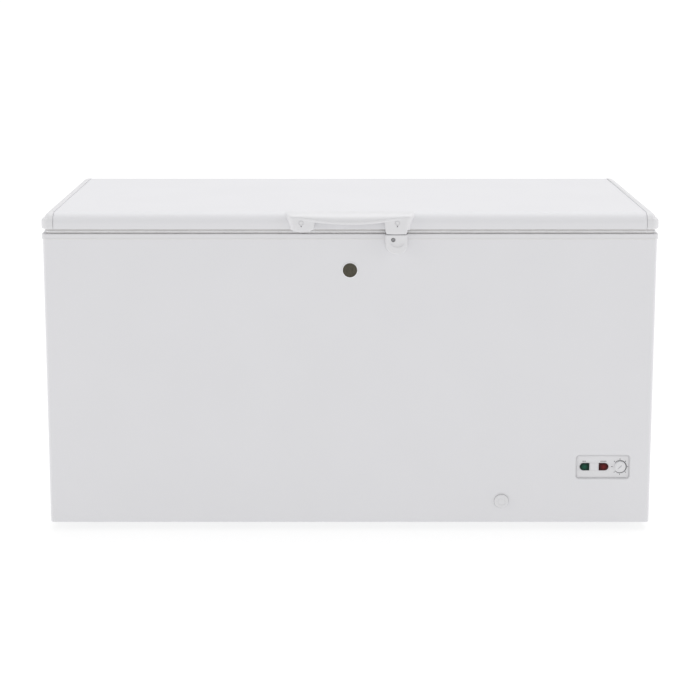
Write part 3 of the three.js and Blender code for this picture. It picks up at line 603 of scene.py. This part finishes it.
def panel_print():
    """Scale round the dial and plain bars over the lamps, a thin film on the tray."""
    low, high = FRONT + 3.95, FRONT + 4.05
    shape = Shape()
    rings, steps, reach = [], 40, 140
    for k in range(steps + 1):
        swell = math.sin(math.pi * k / steps) ** 0.6
        bore, rim = 15.6 - 0.5 * swell, 16.6 + swell
        section = turned([(rim, 0), (bore, 0)], reach - 2 * reach * k / steps)
        (a, b), (c, d) = [(KNOB.x + u, KNOB.z + v) for u, v in section]
        rings.append([(a, low, b), (a, high, b), (c, high, d), (c, low, d)])
    shape.loft(rings)
    for step in range(8):
        length, half = (3.4, 1.2) if step == 4 else (3.0, 0.85)  # the mark for off is bolder
        near, far = 18.6, 18.6 + length
        mark = turned([(near, -half), (far, -half), (far, half), (near, half)], 45 * step)
        shape.prism(at_y, mark, low, high, KNOB.x, KNOB.z)
    for node, widths in (("green_lens", (1.6, 2.4, 1.2, 2.0)),
                         ("red_lens", (1.8, 1.4, 2.2, 0.8, 2.4, 1.8, 2.0))):
        lens = Span(node)
        x = lens.x - sum(widths) / 2 - 0.5 * (len(widths) - 1) / 2 - 1
        for width in widths:
            bar = rounded(x, x + width, lens.z1 + 4.8, lens.z1 + 6.8, 0.3, 2)
            shape.prism(at_y, bar, low, high)
            x += width + 0.5
    build("panel_print", shape, "ink")


def dial():
    """Dial with a coin slot and a grip of fine flutes round its rim."""
    r = (KNOB.x1 - KNOB.x0) / 2
    steps = 72
    rings = []
    for radius, y, depth in ((r - 0.9, KNOB.y1, 0), (r - 0.9, KNOB.y0 + 2.4, 0.25),
                             (r - 0.6, KNOB.y0 + 1.2, 0.25), (r - 0.3, KNOB.y0 + 0.6, 0),
                             (r - 0.5, KNOB.y0 + 0.2, 0), (r - 1.0, KNOB.y0, 0),
                             (r - 2.4, KNOB.y0, 0), (r - 2.8, KNOB.y0 + 0.35, 0),
                             (r - 3.2, KNOB.y0 + 0.35, 0), (r - 3.7, KNOB.y0 + 0.05, 0)):
        ring = []
        for k, (u, v) in enumerate(circle(1, steps)):
            fluted = radius - depth * (k % 2)
            ring.append((KNOB.x + u * fluted, y, KNOB.z + v * fluted))
        rings.append(ring)
    slot = turned(rounded(-6.2, 6.2, -0.8, 0.8, 0.78, 5), 45)
    cut = Shape().prism(at_y, slot, KNOB.y0 - 2, KNOB.y0 + 2.4, KNOB.x, KNOB.z)
    build("thermostat_dial_knob", Shape().loft(rings), "white_plastic", ["thermostat_knob"],
          [cut], body="thermostat_dial", sharp=30)


def drain_front():
    cap = Span("drain_cap")
    profile = [
        (6.4, 14), (6.6, 12), (6.6, -0.2), (17.4, -0.3), (18, -0.8), (18, -2.6), (17.6, -3.5),
        (16.6, -4.1), (15.4, -4.3), (11.6, -4.3), (10.4, -4.0), (9.8, -3.3), (9.2, -3.3),
        (8.6, -3.8), (7.8, -4.0), (1, -4.1),
    ]
    build("drain_cap_turned", Shape().lathe(profile, (cap.x, FRONT, cap.z), "y", 48),
          "white_plastic", ["drain_cap"], body="drain_outlet_cap", sharp=30)
    # painted shadow: a grey ring on the wrap round the cap's rim stands for the shadow gap there
    seal = [(15, -0.3), (18.6, -0.3), (18.9, -0.7), (18.6, -1.1)]
    rings = [at_y(circle(r, 48), FRONT + y, cap.x, cap.z) for r, y in seal]
    build("drain_cap_painted_shadow_ring", Shape().loft(rings, loop=True), "painted_shadow_grey", body="drain_outlet_cap")
    plug = Span("drain_plug")
    floor = 100
    shape = Shape().lathe(
        [(5.6, -12), (6.4, -10), (6.4, 0.2), (12.4, 0.5), (13, 1.1), (13, 2.4), (12.2, 3.4),
         (9, 3.0), (8, 2.6), (1, 2.6)], (plug.x, plug.y, floor), "z", 40)
    tab = rounded(-7, 7, 0, 7, [0, 0, 3.4, 3.4], 5)
    shape.prism(at_y, tab, plug.y - 1.5, plug.y + 1.5, plug.x, floor + 2)
    build("drain_plug_moulded", shape, "gasket_rubber", ["drain_plug"], body="tub_stopper",
          sharp=30)


# ---- lid
ROLL = {"front": 28.0, "rear": 12.0}
SKIN_INSET = 0.9  # the skin lies this much lower than the end caps
SHOULDER = 14.0  # radius of the end caps' upper side edge
ROLL_Y = SKIN.y0 + ROLL["front"]
ROLL_Z = SKIN.z1 - ROLL["front"]


def arc(cy, cz, radius, start, end, steps):
    angles = (math.radians(start + (end - start) * k / steps) for k in range(steps + 1))
    return [(cy + radius * math.cos(a), cz + radius * math.sin(a)) for a in angles]


def lid_side(inset):
    """Side outline of the lid from its lower front edge over the top to its lower rear edge."""
    front, rear = ROLL["front"] - inset, ROLL["rear"] - inset
    rear_y, rear_z = SKIN.y1 - ROLL["rear"], SKIN.z1 - ROLL["rear"]
    return (
        [(SKIN.y0 + inset + 0.2, SKIN.z0), (SKIN.y0 + inset, SKIN.z0 + 0.3)]
        + arc(ROLL_Y, ROLL_Z, front, 180, 90, 14)
        + arc(rear_y, rear_z, rear, 90, 0, 8)
        + [(SKIN.y1 - inset, SKIN.z0 + 0.3), (SKIN.y1 - inset - 0.2, SKIN.z0)]
    )


def lid_skin():
    """Bent sheet, its ends turned down a little beside the end caps."""
    rings = []
    ends = [(0, 1.6), (0.25, 0.7), (0.8, 0.15), (1.8, 0)]
    width = SKIN.x1 - SKIN.x0
    rows = [(SKIN.x0 + a, drop) for a, drop in ends]
    rows += [(SKIN.x0 + width * k / 8, 0) for k in range(1, 8)]
    rows += [(SKIN.x1 - a, drop) for a, drop in reversed(ends)]
    for x, drop in rows:
        inset = SKIN_INSET + drop
        ring = lid_side(inset) + list(reversed(lid_side(inset + SHEET)))
        rings.append(at_x(ring, x))
    build("lid_skin_sheet", Shape().loft(rings), "white_paint", ["lid_skin"], body="lid")


def roll_inset(radius, z):
    """How far a rolled edge of this radius has turned in at height z."""
    rise = max(z - (CAP.z1 - radius), 0.0)
    return radius - math.sqrt(max(radius * radius - rise * rise, 0.0))


def cap_edge(z):
    """How far the cap's side has turned in at height z: a low band, a step, a rolled shoulder."""
    band = CAP.z1 - 14
    if z < band:
        turned = max(z - (band - 8), 0)
        return 8 - math.sqrt(64 - turned * turned)
    return 9.0 + roll_inset(SHOULDER, z)


def end_cap(side):
    """Moulded end of the lid: rolled front and rear edges, and a side with a step in it."""
    low, high = CAP.z0, CAP.z1
    rows = [(4.2, low), (2.2, low + 0.7), (0.8, low + 2.2), (0, low + 4.6)]
    levels = [low + 12, low + 15.5, low + 19, *(low + 19 + 8 * k / 8 for k in range(1, 8))]
    levels += [high - 14.01, high - 13.99]
    levels += [high - SHOULDER * (1 - math.sin(math.pi / 2 * k / 14)) for k in range(1, 14)]
    rows += [(0, z) for z in levels] + [(0, high)]
    rings = []
    for lip, z in rows:
        front = lip * 0.4 + roll_inset(ROLL["front"], z)
        edge = lip + cap_edge(z)
        rear = lip * 0.4 + roll_inset(ROLL["rear"], z)
        corners = [0, max(20 - min(front, edge), 6), max(20 - min(rear, edge), 6), 0]
        outline = rounded(CAP.x0, CAP.x1 - edge, CAP.y0 + front, CAP.y1 - rear, corners, 8)
        rings.append(at_z([(side * x, y) for x, y in outline], z))
    node = "lid_end_cap_left" if side < 0 else "lid_end_cap_right"
    build(node + "_moulding", Shape().loft(rings), "white_plastic", [node], body="lid", sharp=30)


def lid_foam():
    """Foam under the lid's skin, down to the liner."""
    foam = Span("lid_foam")
    low = Span("lid_liner").z1 + 0.5
    outline = [(y, max(z, low)) for y, z in lid_side(SKIN_INSET + SHEET + GAP)]
    build("lid_foam_block", Shape().prism(at_x, outline, foam.x0, foam.x1), "foam",
          ["lid_foam"], body="lid")


def lid_liner():
    """Moulded inner face of the lid: a pan that fills the tub's mouth, with a sunk field."""
    liner = Span("lid_liner")
    x, y, low, high = liner.x1, liner.y1, liner.z0 + 0.3, liner.z1
    rows = [
        (x, y, 3, high), (x, y, 3, high - 1.6), (x - 0.6, y - 0.6, 3, high - 2),
        (684, 256, 14, high - 2), (681.5, 253.5, 12, high - 3), (680.5, 252.5, 11, low + 3),
        (679.5, 251.5, 10, low + 1), (677.5, 249.5, 8, low), (612, 190, 34, low),
        (611, 189, 33, low + 0.2), (609, 187, 31, low + 1.3), (607, 185, 29, low + 1.6),
        (180, 60, 24, low + 1.6), (178, 58, 22, low + 1.3), (176, 56, 21, low + 0.3),
        (174, 54, 20, low + 0.1),
    ]
    build("lid_liner_moulding", Shape().frame(rows, closed=False), "liner_plastic",
          ["lid_liner"], body="lid", sharp=30)


def gasket():
    """Bellows gasket round the lid's inner face, with a round bead along its middle."""
    seal = Span("lid_gasket")
    depth = 22
    profile = [
        (-2, 0.0), (-3.7, 0.9), (-4, 2.2), (-1.6, 4.6), (-3.6, 7.4), (-3.2, 9.2), (-1, 11.3),
        (depth - 3, 11.3), (depth - 0.8, 9.2), (depth - 0.4, 7.4), (depth - 2.4, 4.6),
        (depth, 2.2), (depth - 0.3, 0.9), (depth - 2, 0.0),
    ]
    rings = [at_z(centred(seal.x1 - d, seal.y1 - d, max(12 - d * 0.4, 2)), seal.z0 + z)
             for d, z in profile]
    # The bellows take the gasket's darker, warmer copy: painted shade in the gap; the bead keeps
    # the plain rubber.
    build("lid_gasket_bellows", Shape().loft(rings, loop=True), "gasket_painted_shade", ["lid_gasket"],
          body="lid", sharp=50)
    middle = seal.z0 + 5.2
    bead = [(4, -2), (-4.6, -2), (-6.2, -1.3), (-6.8, 0), (-6.2, 1.3), (-4.6, 2), (4, 2)]
    rings = [at_z(centred(seal.x1 - d, seal.y1 - d, 12 - d * 0.4), middle + z) for d, z in bead]
    build("lid_gasket_bead", Shape().loft(rings, loop=True), "gasket_rubber", body="lid")


# ---- handle
GRIP = {
    "half": 149.0,  # half width at the feet's lower ends
    "flare": 12.0,  # how much wider it is at the lid's top edge
    "side": 13.0,  # width over which its sides turn back to the lid
    "reach": -HANDLE.y0,
    "foot": 363.0,  # distance of the feet's faces from the freezer's middle
    "left_foot": -88.0,
    "right_foot": 86.0,
}
SEAT = ROLL["front"] - SKIN_INSET + GAP
TOP_EDGE = 5.0  # how far the handle reaches onto the lid's flat top
LIP_Z = 796.3  # height of the lip's lower edge in the middle of the handle
TONGUE = (HOUSING.x0 + 1, HOUSING.x1 - 1)  # the right foot's part that meets the lock


def lid_point(y, z):
    """Nearest point of the lid's front, just clear of it."""
    if z < ROLL_Z:
        return ROLL_Y - SEAT, z
    if y > ROLL_Y:
        return y, ROLL_Z + SEAT
    out = Vector((y - ROLL_Y, z - ROLL_Z)).normalized() * SEAT
    return ROLL_Y + out.x, ROLL_Z + out.y


def foot_low(x):
    """Height of the feet's lower edge."""
    if x < 0:
        return 775.8 + 0.0085 * (x + 120) ** 2
    edge = 2.2
    tongue = smooth(TONGUE[0] - edge, TONGUE[0] + edge, x)
    tongue *= 1 - smooth(TONGUE[1] - edge, TONGUE[1] + edge, x)
    sag = 0.0012 * (x - (TONGUE[0] + TONGUE[1]) / 2) ** 2
    return (HANDLE.z0 + 0.3 + sag) * tongue + 781.5 * (1 - tongue)


def grip_section(x):
    """Section (y, z) of the handle at x: top face, lip, underside or foot, seat on the lid."""
    foot = 1 - smooth(GRIP["left_foot"] - 2.5, GRIP["left_foot"] + 1.5, x)
    foot += smooth(GRIP["right_foot"] - 1.5, GRIP["right_foot"] + 2.5, x)
    bow = max(1 - (x / 128) ** 2, 0)
    r = GRIP["foot"] + (GRIP["reach"] - GRIP["foot"]) * bow
    lift = 11.5 * (1 - bow)
    low = foot_low(x)

    edge = LIP_Z + lift
    brow = (-r + 2.3, edge + 7.2)
    poles = ((ROLL_Y + TOP_EDGE, SKIN.z1), (-346, SKIN.z1), (-r + 4, 818), brow)
    top = []
    for k in range(10):
        t = k / 10
        weights = ((1 - t) ** 3, 3 * t * (1 - t) ** 2, 3 * t * t * (1 - t), t ** 3)
        top.append(tuple(sum(w * p[i] for w, p in zip(weights, poles)) for i in (0, 1)))
    top += [brow, (-r + 1.2, edge + 7.5), (-r + 0.3, edge + 6.4)]
    seat_end = [(ROLL_Y + TOP_EDGE, ROLL_Z + SEAT)]

    inner = (-348.2, 811)
    bar = [
        (-r, edge + 3.6), (-r + 1.0, edge + 0.8), (-r + 2.5, edge), (-r + 3.8, edge + 0.7),
        (-r + 4.6, edge + 2.7), (-r + 5.2, 803 + lift * 0.7), (-r + 6.6, 807 + lift * 0.4),
        (-r + 9.0, 810.2), mix((-r + 9, 810.2), inner, 0.4), mix((-r + 9, 810.6), inner, 0.75),
        inner,
    ]
    seat_angle = math.degrees(math.asin((inner[1] - ROLL_Z) / SEAT))
    bar += arc(ROLL_Y, ROLL_Z, SEAT, 180 - seat_angle, 90, 7)

    face = -GRIP["foot"]
    step = -r - face
    leg = [
        (face + step * 0.9, edge + 3.6), (face + step * 0.4, edge + 1.6), (face, edge),
        (face, 792), (face, low + 4), (face + 0.5, low + 1.9), (face + 1.6, low + 0.6),
        (face + 3.4, low), (SKIN.y0 - 1.6, low), (ROLL_Y - SEAT, low + 1),
        (ROLL_Y - SEAT, max(ROLL_Z, low + 3)),
    ]
    leg += arc(ROLL_Y, ROLL_Z, SEAT, 180, 90, 7)
    return [mix(a, b, foot) for a, b in zip(top + bar + seat_end, top + leg + seat_end)]


def handle_ring(x):
    """Section moved out to the flared outline, and shrunk onto the lid near both ends."""
    beyond = (abs(x) - (GRIP["half"] - GRIP["side"])) / GRIP["side"]
    scale = math.sqrt(max(1 - max(beyond, 0) ** 2, 0)) * 0.985 + 0.015
    ring = []
    for y, z in grip_section(x):
        base_y, base_z = lid_point(y, z)
        height = min(max((z - 784) / (SKIN.z1 - 784), 0), 1)
        spread = GRIP["flare"] * height ** 1.7 * smooth(95, GRIP["half"], abs(x))
        ring.append((x + math.copysign(spread, x), base_y + (y - base_y) * scale,
                     base_z + (z - base_z) * scale))
    return ring


def handle():
    stations = []
    half, side = GRIP["half"], GRIP["side"]
    x = -(half - side)
    while x < half - side:
        stations.append(x)
        near_edge = min(abs(x - e) for e in (-92, 86, *TONGUE)) < 5
        x += 0.7 if near_edge else 4.0
    ends = [half - side * (1 - math.sin(math.pi / 2 * k / 12)) for k in range(13)]
    stations = [-e for e in reversed(ends)] + stations[1:] + ends
    cuts = []
    for node in ("screw_cover_left", "screw_cover_right"):
        cover = Span(node)
        middle = (cover.x, -GRIP["foot"], cover.z)
        below = (cover.x, -GRIP["foot"], cover.z - 9)
        cuts += [Shape().lathe([(5.95, -3), (5.95, 2)], middle, "y"),
                 Shape().lathe([(1.5, -3), (1.5, 5)], below, "y", 16)]
        disc = [(5.3, 1.9), (5.3, 0.6), (5.0, 0.15), (4.3, 0), (1, -0.15)]
        build(node + "_disc", Shape().lathe(disc, middle, "y"), "white_plastic", [node],
              body="lid", sharp=30)
        pin = [(1.3, 4), (1.3, 1.2), (0.9, 0.9)]
        build(node + "_pin", Shape().lathe(pin, below, "y", 16), "ink", body="lid")
    bolt = Span("lock_bolt")
    cuts.append(Shape().block(bolt.x0 - 2, bolt.x1 + 2, bolt.y0 - 0.8, bolt.y1 + 0.8,
                              HANDLE.z0 - 2, bolt.z1 + 13))
    build("handle_moulding", Shape().loft([handle_ring(x) for x in stations]), "white_plastic",
          ["handle"], cuts, body="lid", sharp=42)


# ---- lock
def lock():
    """Key lock under the handle's right foot: rounded housing with a thumb dent."""
    key, bolt = Span("lock_cylinder"), Span("lock_bolt")
    front = HOUSING.y0
    rings = []
    for i, y in ((0, HOUSING.y1), (0, front + 3.2), (0.25, front + 1.6), (0.9, front + 0.6),
                 (2, front + 0.1), (3.2, front)):
        outline = rounded(HOUSING.x0 + i, HOUSING.x1 - i, HOUSING.z0 + i, HOUSING.z1 - i * 0.4,
                          [27 - i, 23 - i, 1.2, 1.2], 10)
        rings.append(at_y(outline, y))
    dent = [(HOUSING.x + 2.5 + 16.5 * math.cos(a), key.z - 8.5 - 10 * math.sin(a))
            for a in (math.pi * k / 20 for k in range(21))]
    clear = GAP + 0.1
    collar = 10.2  # depth of the cylinder's wide rear part
    cuts = [
        Shape().prism(at_y, dent, front - 1, front + 1.8),
        Shape().block(bolt.x0 - clear, bolt.x1 + clear, bolt.y0 - clear, bolt.y1 + clear,
                      bolt.z0 - 4, HOUSING.z1 + 4),
        Shape().lathe([(5.5, -4), (5.5, 5)], (key.x, front, key.z), "y"),
        Shape().lathe([(6.6, -GAP), (6.6, 20)], (key.x, key.y1 - collar, key.z), "y"),
    ]
    build("lock_housing_moulding", Shape().loft(rings), "white_plastic", ["lock_housing"], cuts,
          sharp=35)

    steps = [(6.2, 0), (6.2, -collar), (5, -collar), (5, -13.8), (4.7, -14.3), (4.2, -14.4),
             (3.9, -14.1), (3.7, -12.6), (1, -12.4)]
    slot = Shape().block(key.x - 0.8, key.x + 0.8, key.y0 - 2, key.y0 + 3, key.z - 3, key.z + 3)
    build("lock_cylinder_turned", Shape().lathe(steps, (key.x, key.y1, key.z), "y", 40),
          "lock_metal", ["lock_cylinder"], [slot], body="lock_key", sharp=30)
    plate = rounded(bolt.x0, bolt.x1, bolt.z0, bolt.z1, [0.5, 0.5, 3, 3], 4)
    build("lock_bolt_plate", Shape().prism(at_y, plate, bolt.y0, bolt.y1), "bright_steel",
          ["lock_bolt"], edge=0.4, body="lock_latch")


# ---- tub and baskets
TUB_FLOOR = LINER.z0 + SHEET
TUB_CORNER = 24.0
STEP_X, STEP_Z = 448.0, 380.0  # where the step over the compressor bay begins, and its height


def tub_well(x1, floor):
    """Closed solid of a well from the left wall to x1, with a filleted floor."""
    return Shape().loft([
        at_z(rounded(i - MOUTH_X, x1 - i, i - MOUTH_Y, MOUTH_Y - i, TUB_CORNER - i, 8), z)
        for i, z in [*foot_round(18.0, floor, 6), (0, LINER.z1)]])


def tub():
    """Embossed sheet tub with its step over the compressor bay."""
    piece = tub_well(STEP_X, TUB_FLOOR).object("inner_liner_tub")
    combine(piece, tub_well(MOUTH_X, STEP_Z), "UNION")
    work = bmesh.new()
    work.from_mesh(piece.data)
    lids = [f for f in work.faces if all(v.co.z > (LINER.z1 - 0.05) * MM for v in f.verts)]
    bmesh.ops.delete(work, geom=lids, context="FACES")
    bmesh.ops.reverse_faces(work, faces=work.faces)
    work.to_mesh(piece.data)
    work.free()
    thicken = piece.modifiers.new("sheet", "SOLIDIFY")
    thicken.thickness = SHEET * MM
    thicken.offset = -1
    bake(piece)
    plug = Span("drain_plug")
    combine(piece, Shape().lathe([(9, -8), (9, 8)], (plug.x, plug.y, TUB_FLOOR)))
    finish_piece(piece, "liner_sheet", ["inner_liner"], sharp=30)
    low, high = LINER.z1 - SHEET, LINER.z1
    rows = [(MOUTH_X + d, MOUTH_Y + d, TUB_CORNER + wider, z) for d, wider, z in (
        (0.2, 0, low), (0.2, 0, high), (22, 22, high), (22, 22, low))]
    build("inner_liner_flange", Shape().frame(rows), "liner_sheet")


def baskets():
    """Welded wire baskets that hang on the ledge by two bent rails."""
    frame_r, wire_r, bend = 2.4, 1.5, 16
    for side in ("left", "right"):
        node = f"basket_{side}"
        box = Span(node)
        half_x, half_y = (box.x1 - box.x0) / 2 - frame_r, 262 - frame_r
        low, high = box.z0 + wire_r, 752 - frame_r
        rail = box.z1 - 2.2
        shape = Shape()

        def ring(inset, z, radius, sides):
            path = filleted([(box.x + sx * (half_x - inset), sy * (half_y - inset), z)
                             for sx, sy in ((-1, -1), (1, -1), (1, 1), (-1, 1))], 18, 6, True)
            shape.tube(path, radius, sides, closed=True)

        ring(0, high, frame_r, 8)
        for k in range(4):
            ring(2.5, low + 24 + k * 44, wire_r, 6)
        ring(4, low + wire_r * 2, 2.0, 8)
        rows = 21
        for k in range(rows):
            y = (k - (rows - 1) / 2) * 23.4
            u = half_x - wire_r - 2
            path = filleted([(box.x - u, y, high), (box.x - u, y, low), (box.x + u, y, low),
                             (box.x + u, y, high)], bend)
            shape.tube(path, wire_r, 6)
        columns = 9
        for k in range(columns):
            x = box.x + (k - (columns - 1) / 2) * 22.5
            v = half_y - wire_r - 2
            path = filleted([(x, -v, high), (x, -v, low + 3), (x, v, low + 3), (x, v, high)], bend)
            shape.tube(path, wire_r, 6)
        for sy in (-1, 1):
            outer = sy * (box.y1 - 2.2)
            path = filleted([
                (box.x - 62, sy * half_y, high - 12), (box.x - 62, sy * half_y, rail),
                (box.x - 62, outer, rail), (box.x + 62, outer, rail),
                (box.x + 62, sy * half_y, rail), (box.x + 62, sy * half_y, high - 12)], 5)
            shape.tube(path, 2.0, 8)
        build(node + "_wires", shape, "coated_wire", [node], body=f"{side}_basket", sharp=60)


# ---- hinges
def hinges():
    y, z, knuckle, pin = 362.0, 776.0, 9.0, 4.0  # axis of the pins, radii of knuckles and pins

    def ears(shape, x, near, far, web):
        """Two upright webs that end in knuckles, from near to far on either side of x."""
        for side in (-1, 1):
            x0, x1 = sorted((x + side * near, x + side * far))
            shape.prism(at_x, web, x0, x1)
            shape.lathe([(knuckle, 0), (knuckle, x1 - x0)], (x0, y, z), "x", 28)

    for side in ("left", "right"):
        base, leaf = Span(f"hinge_base_{side}"), Span(f"hinge_leaf_{side}")
        x = base.x
        plate = rounded(base.x0, base.x1, base.z0, TRIM.z0 - 1, 8, 5)
        shape = Shape().prism(at_y, plate, base.y0, base.y0 + 3)
        ears(shape, x, 17, 20, [
            (base.y0 + 2.5, base.z0 + 30), (base.y0 + 5, base.z0 + 32), (y + knuckle * 0.9, z - 6),
            (y - knuckle * 0.6, z), (base.y0 + 2.5, TRIM.z0 - 4)])
        build(f"hinge_base_{side}_bracket", shape, "hinge_steel", [f"hinge_base_{side}"],
              edge=0.5)
        screws = Shape()
        for sx in (-22, 22):
            for sz in (14, 80):
                screw_head(screws, (x + sx, base.y0 + 3, base.z0 + sz), 5, 2.2)
        build(f"hinge_base_{side}_screws", screws, "bright_steel")

        flap = rounded(leaf.x0, leaf.x1, SKIN.z0 + 5, leaf.z1, 6, 5)
        shape = Shape().prism(at_y, flap, leaf.y0, leaf.y0 + 3)
        ears(shape, x, 11, 15, [
            (leaf.y0 + 0.5, SKIN.z0 + 6), (y - knuckle * 0.7, z), (y + knuckle * 0.9, z + 2),
            (leaf.y0 + 3, SKIN.z0 + 20), (leaf.y0 + 0.5, SKIN.z0 + 20)])
        build(f"hinge_leaf_{side}_bracket", shape, "hinge_steel", [f"hinge_leaf_{side}"],
              edge=0.5, body="lid")
        screws = Shape()
        for sx in (-21, 21):
            screw_head(screws, (x + sx, leaf.y0 + 3, leaf.z1 - 9), 4.5, 2)
        build(f"hinge_leaf_{side}_screws", screws, "bright_steel", body="lid")

        shape = Shape().lathe(
            [(pin - 0.6, -24.6), (pin, -24), (pin, 23), (pin + 2.5, 23), (pin + 2.5, 25.5),
             (pin + 1.6, 26.5)], (x, y, z), "x", 28)
        build(f"hinge_pin_{side}_turned", shape, "bright_steel",
              [f"hinge_pin_{side}"], sharp=30)
        coil = [(x - 9 + 18 * t, y + 6.2 * math.cos(t * 8 * math.pi),
                 z + 6.2 * math.sin(t * 8 * math.pi)) for t in (k / 96 for k in range(97))]
        build(f"hinge_spring_{side}_coil", Shape().tube(coil, 1.2, 8), "bright_steel",
              [f"hinge_spring_{side}"], sharp=60)


# ---- compressor bay
def compressor():
    can = Span("compressor_shell")
    x, y, low = can.x, can.y, can.z0
    radius = (can.x1 - can.x0) / 2 - 12
    profile = [
        (radius - 22, 2), (radius - 12, 4), (radius - 4, 10), (radius - 0.5, 18), (radius, 26),
        (radius, 66), (radius + 2.5, 68), (radius + 2.5, 73), (radius, 75), (radius, 100),
        (radius - 1.5, 112), (radius - 6, 124), (radius - 14, 135), (radius - 28, 145),
        (radius - 46, 151), (radius - 64, 154), (4, 155.6),
    ]
    shape = Shape().lathe(profile, (x, y, low), steps=64)
    foot = centred(90, 90, 16)
    shape.prism(at_z, foot, low, low + 3, x, y)
    build("compressor_shell_can", shape, "black_enamel", ["compressor_shell"])

    box = Span("compressor_relay")
    rings = [at_y(rounded(box.x0 + i, box.x1 - i, box.z0 + i, box.z1 - i, 5), v)
             for i, v in ((0, box.y1), (0, box.y0 + 3), (0.6, box.y0 + 1), (2, box.y0),
                          (7, box.y0), (8, box.y0 + 1.2))]
    build("compressor_relay_cover", Shape().loft(rings), "black_plastic",
          ["compressor_relay"], sharp=30)
    for i in range(1, 5):
        node = f"compressor_mount_{i}"
        mount = Span(node)
        h = mount.z1 - mount.z0
        shape = Shape().lathe(
            [(10, 0), (11, 1), (11, 3.4), (8.6, 4.4), (8.6, h - 4), (11, h - 3), (11, h - 0.8),
             (10.2, h)], (mount.x, mount.y, mount.z0))
        build(node + "_grommet", shape, "black_rubber", [node], sharp=30)
    plate = Span("compressor_plate")
    outline = rounded(plate.x0, plate.x1, plate.y0, plate.y1, 12)
    build("compressor_plate_pressing", Shape().prism(at_z, outline, plate.z0, plate.z1),
          "zinc_steel", ["compressor_plate"], edge=0.8)
    pipes()


def pipe(node, route, radius, bend):
    shape = Shape().tube(filleted(route, bend, 8), radius, 16)
    build(node + "_tube", shape, "copper", [node], sharp=60)


def pipes():
    out, back = Span("discharge_pipe"), Span("suction_pipe")
    z = out.z0 + 3
    route = [(out.x1, 170, z), (out.x0 + 3, 170, z), (out.x0 + 3, out.y0 + 3, z),
             (out.x0 + 3, out.y0 + 3, out.z1)]
    pipe("discharge_pipe", route, 3, 22)
    z = back.z0 + 4
    route = [(back.x0, 170, z), (back.x1 - 4, 170, z), (back.x1 - 4, 170, back.z1 - 4),
             (back.x1 - 4, back.y0, back.z1 - 4)]
    pipe("suction_pipe", route, 4, 20)
    drier = Span("filter_drier")
    h = drier.z1 - drier.z0
    profile = [(2.6, 0), (3, 0.5), (3, 11), (4, 14), (7.4, 19), (9, 24), (9, 30), (8.6, 31),
               (8.6, 33), (9, 34), (9, h - 24), (7.4, h - 19), (4, h - 14), (3, h - 11),
               (3, h - 0.5), (2.6, h)]
    build("filter_drier_spun", Shape().lathe(profile, (drier.x, drier.y, drier.z0)), "copper",
          ["filter_drier"], sharp=30)
    gland = Span("cord_gland")
    centre = (gland.x, REAR, gland.z)
    profile = [(9, -8), (9, -0.9), (13, -0.8), (13, 1.0), (12, 1.9), (9.4, 2.2), (9, 3.4),
               (8.4, 3.6), (8.2, 5), (8.6, 5.2), (8.4, 7), (7.6, 7.4), (7.2, 8.6), (4.6, 8.8),
               (4.2, 7.8), (4.2, -2)]
    build("cord_gland_moulding", Shape().lathe(profile, centre, "y", 40), "black_rubber",
          ["cord_gland"], sharp=30)


def kept_nodes():
    """CAD nodes whose own shape shows: hidden inner parts and the plain sheets."""
    slots = {part["node"]: part["material_slot"] for part in frame["record"]["subparts"]}
    for name, node in frame["nodes"].items():
        if node.hide_render:
            continue
        node.data.materials.clear()
        node.data.materials.append(MATERIALS[slots[name]])
        step = node.modifiers.new("edges", "BEVEL")
        step.width = 0.25 * MM
        step.segments = 1
        step.limit_method = "ANGLE"
        step.angle_limit = math.radians(50)


# ---- stage
SKY = 0.6  # strength of the even light from all round
LAMPS = {  # where each lamp stands, how strong it is and how wide it looks in degrees
    "overhead": ((0.12, 0.38, 1.0), 1.3, 50),
    "left": ((-1.0, -0.12, 0.25), 0.6, 40),
    "right": ((1.0, -0.12, 0.25), 0.6, 40),
}


def stage():
    size = 60.0
    mesh = bpy.data.meshes.new("studio_floor")
    mesh.from_pydata([(-size, -size, 0), (size, -size, 0), (size, size, 0), (-size, size, 0)], [],
                     [(0, 1, 2, 3)])
    floor = bpy.data.objects.new("studio_floor", mesh)
    floor.data.materials.append(MATERIALS["floor"])
    scene.collection.objects.link(floor)

    world = bpy.data.worlds.new("studio")
    world.use_nodes = True
    world.node_tree.nodes["Background"].inputs["Color"].default_value = (1, 1, 1, 1)
    world.node_tree.nodes["Background"].inputs["Strength"].default_value = SKY
    scene.world = world
    scene.view_settings.view_transform = "Standard"

    for name, (place, energy, width) in LAMPS.items():
        lamp = bpy.data.lights.new(name, "SUN")
        lamp.energy = energy
        lamp.angle = math.radians(width)
        light = bpy.data.objects.new(name, lamp)
        light.rotation_euler = Vector(place).to_track_quat("Z", "Y").to_euler()
        scene.collection.objects.link(light)


def camera():
    """Long lens, level with a standing person's eye, aimed a little down and from the front."""
    data = bpy.data.cameras.new("camera")
    data.sensor_width = 36
    data.lens = 90.52
    data.shift_x, data.shift_y = 0.0114, -0.13
    data.clip_end = 200
    eye = bpy.data.objects.new("camera", data)
    eye.location = (-0.020, (FRONT * MM) - 4.3375, 1.4595)
    eye.rotation_euler = (math.radians(90 - 9.85), 0, 0)
    scene.collection.objects.link(eye)
    scene.camera = eye


camera()
stage()
cabinet_wrap()
top_trim()
back_panel()
rear_grille()
feet()
badge()
bezel()
lenses()
panel_print()
dial()
drain_front()
lid_skin()
end_cap(-1)
end_cap(1)
lid_foam()
lid_liner()
gasket()
handle()
lock()
tub()
baskets()
hinges()
compressor()
kept_nodes()
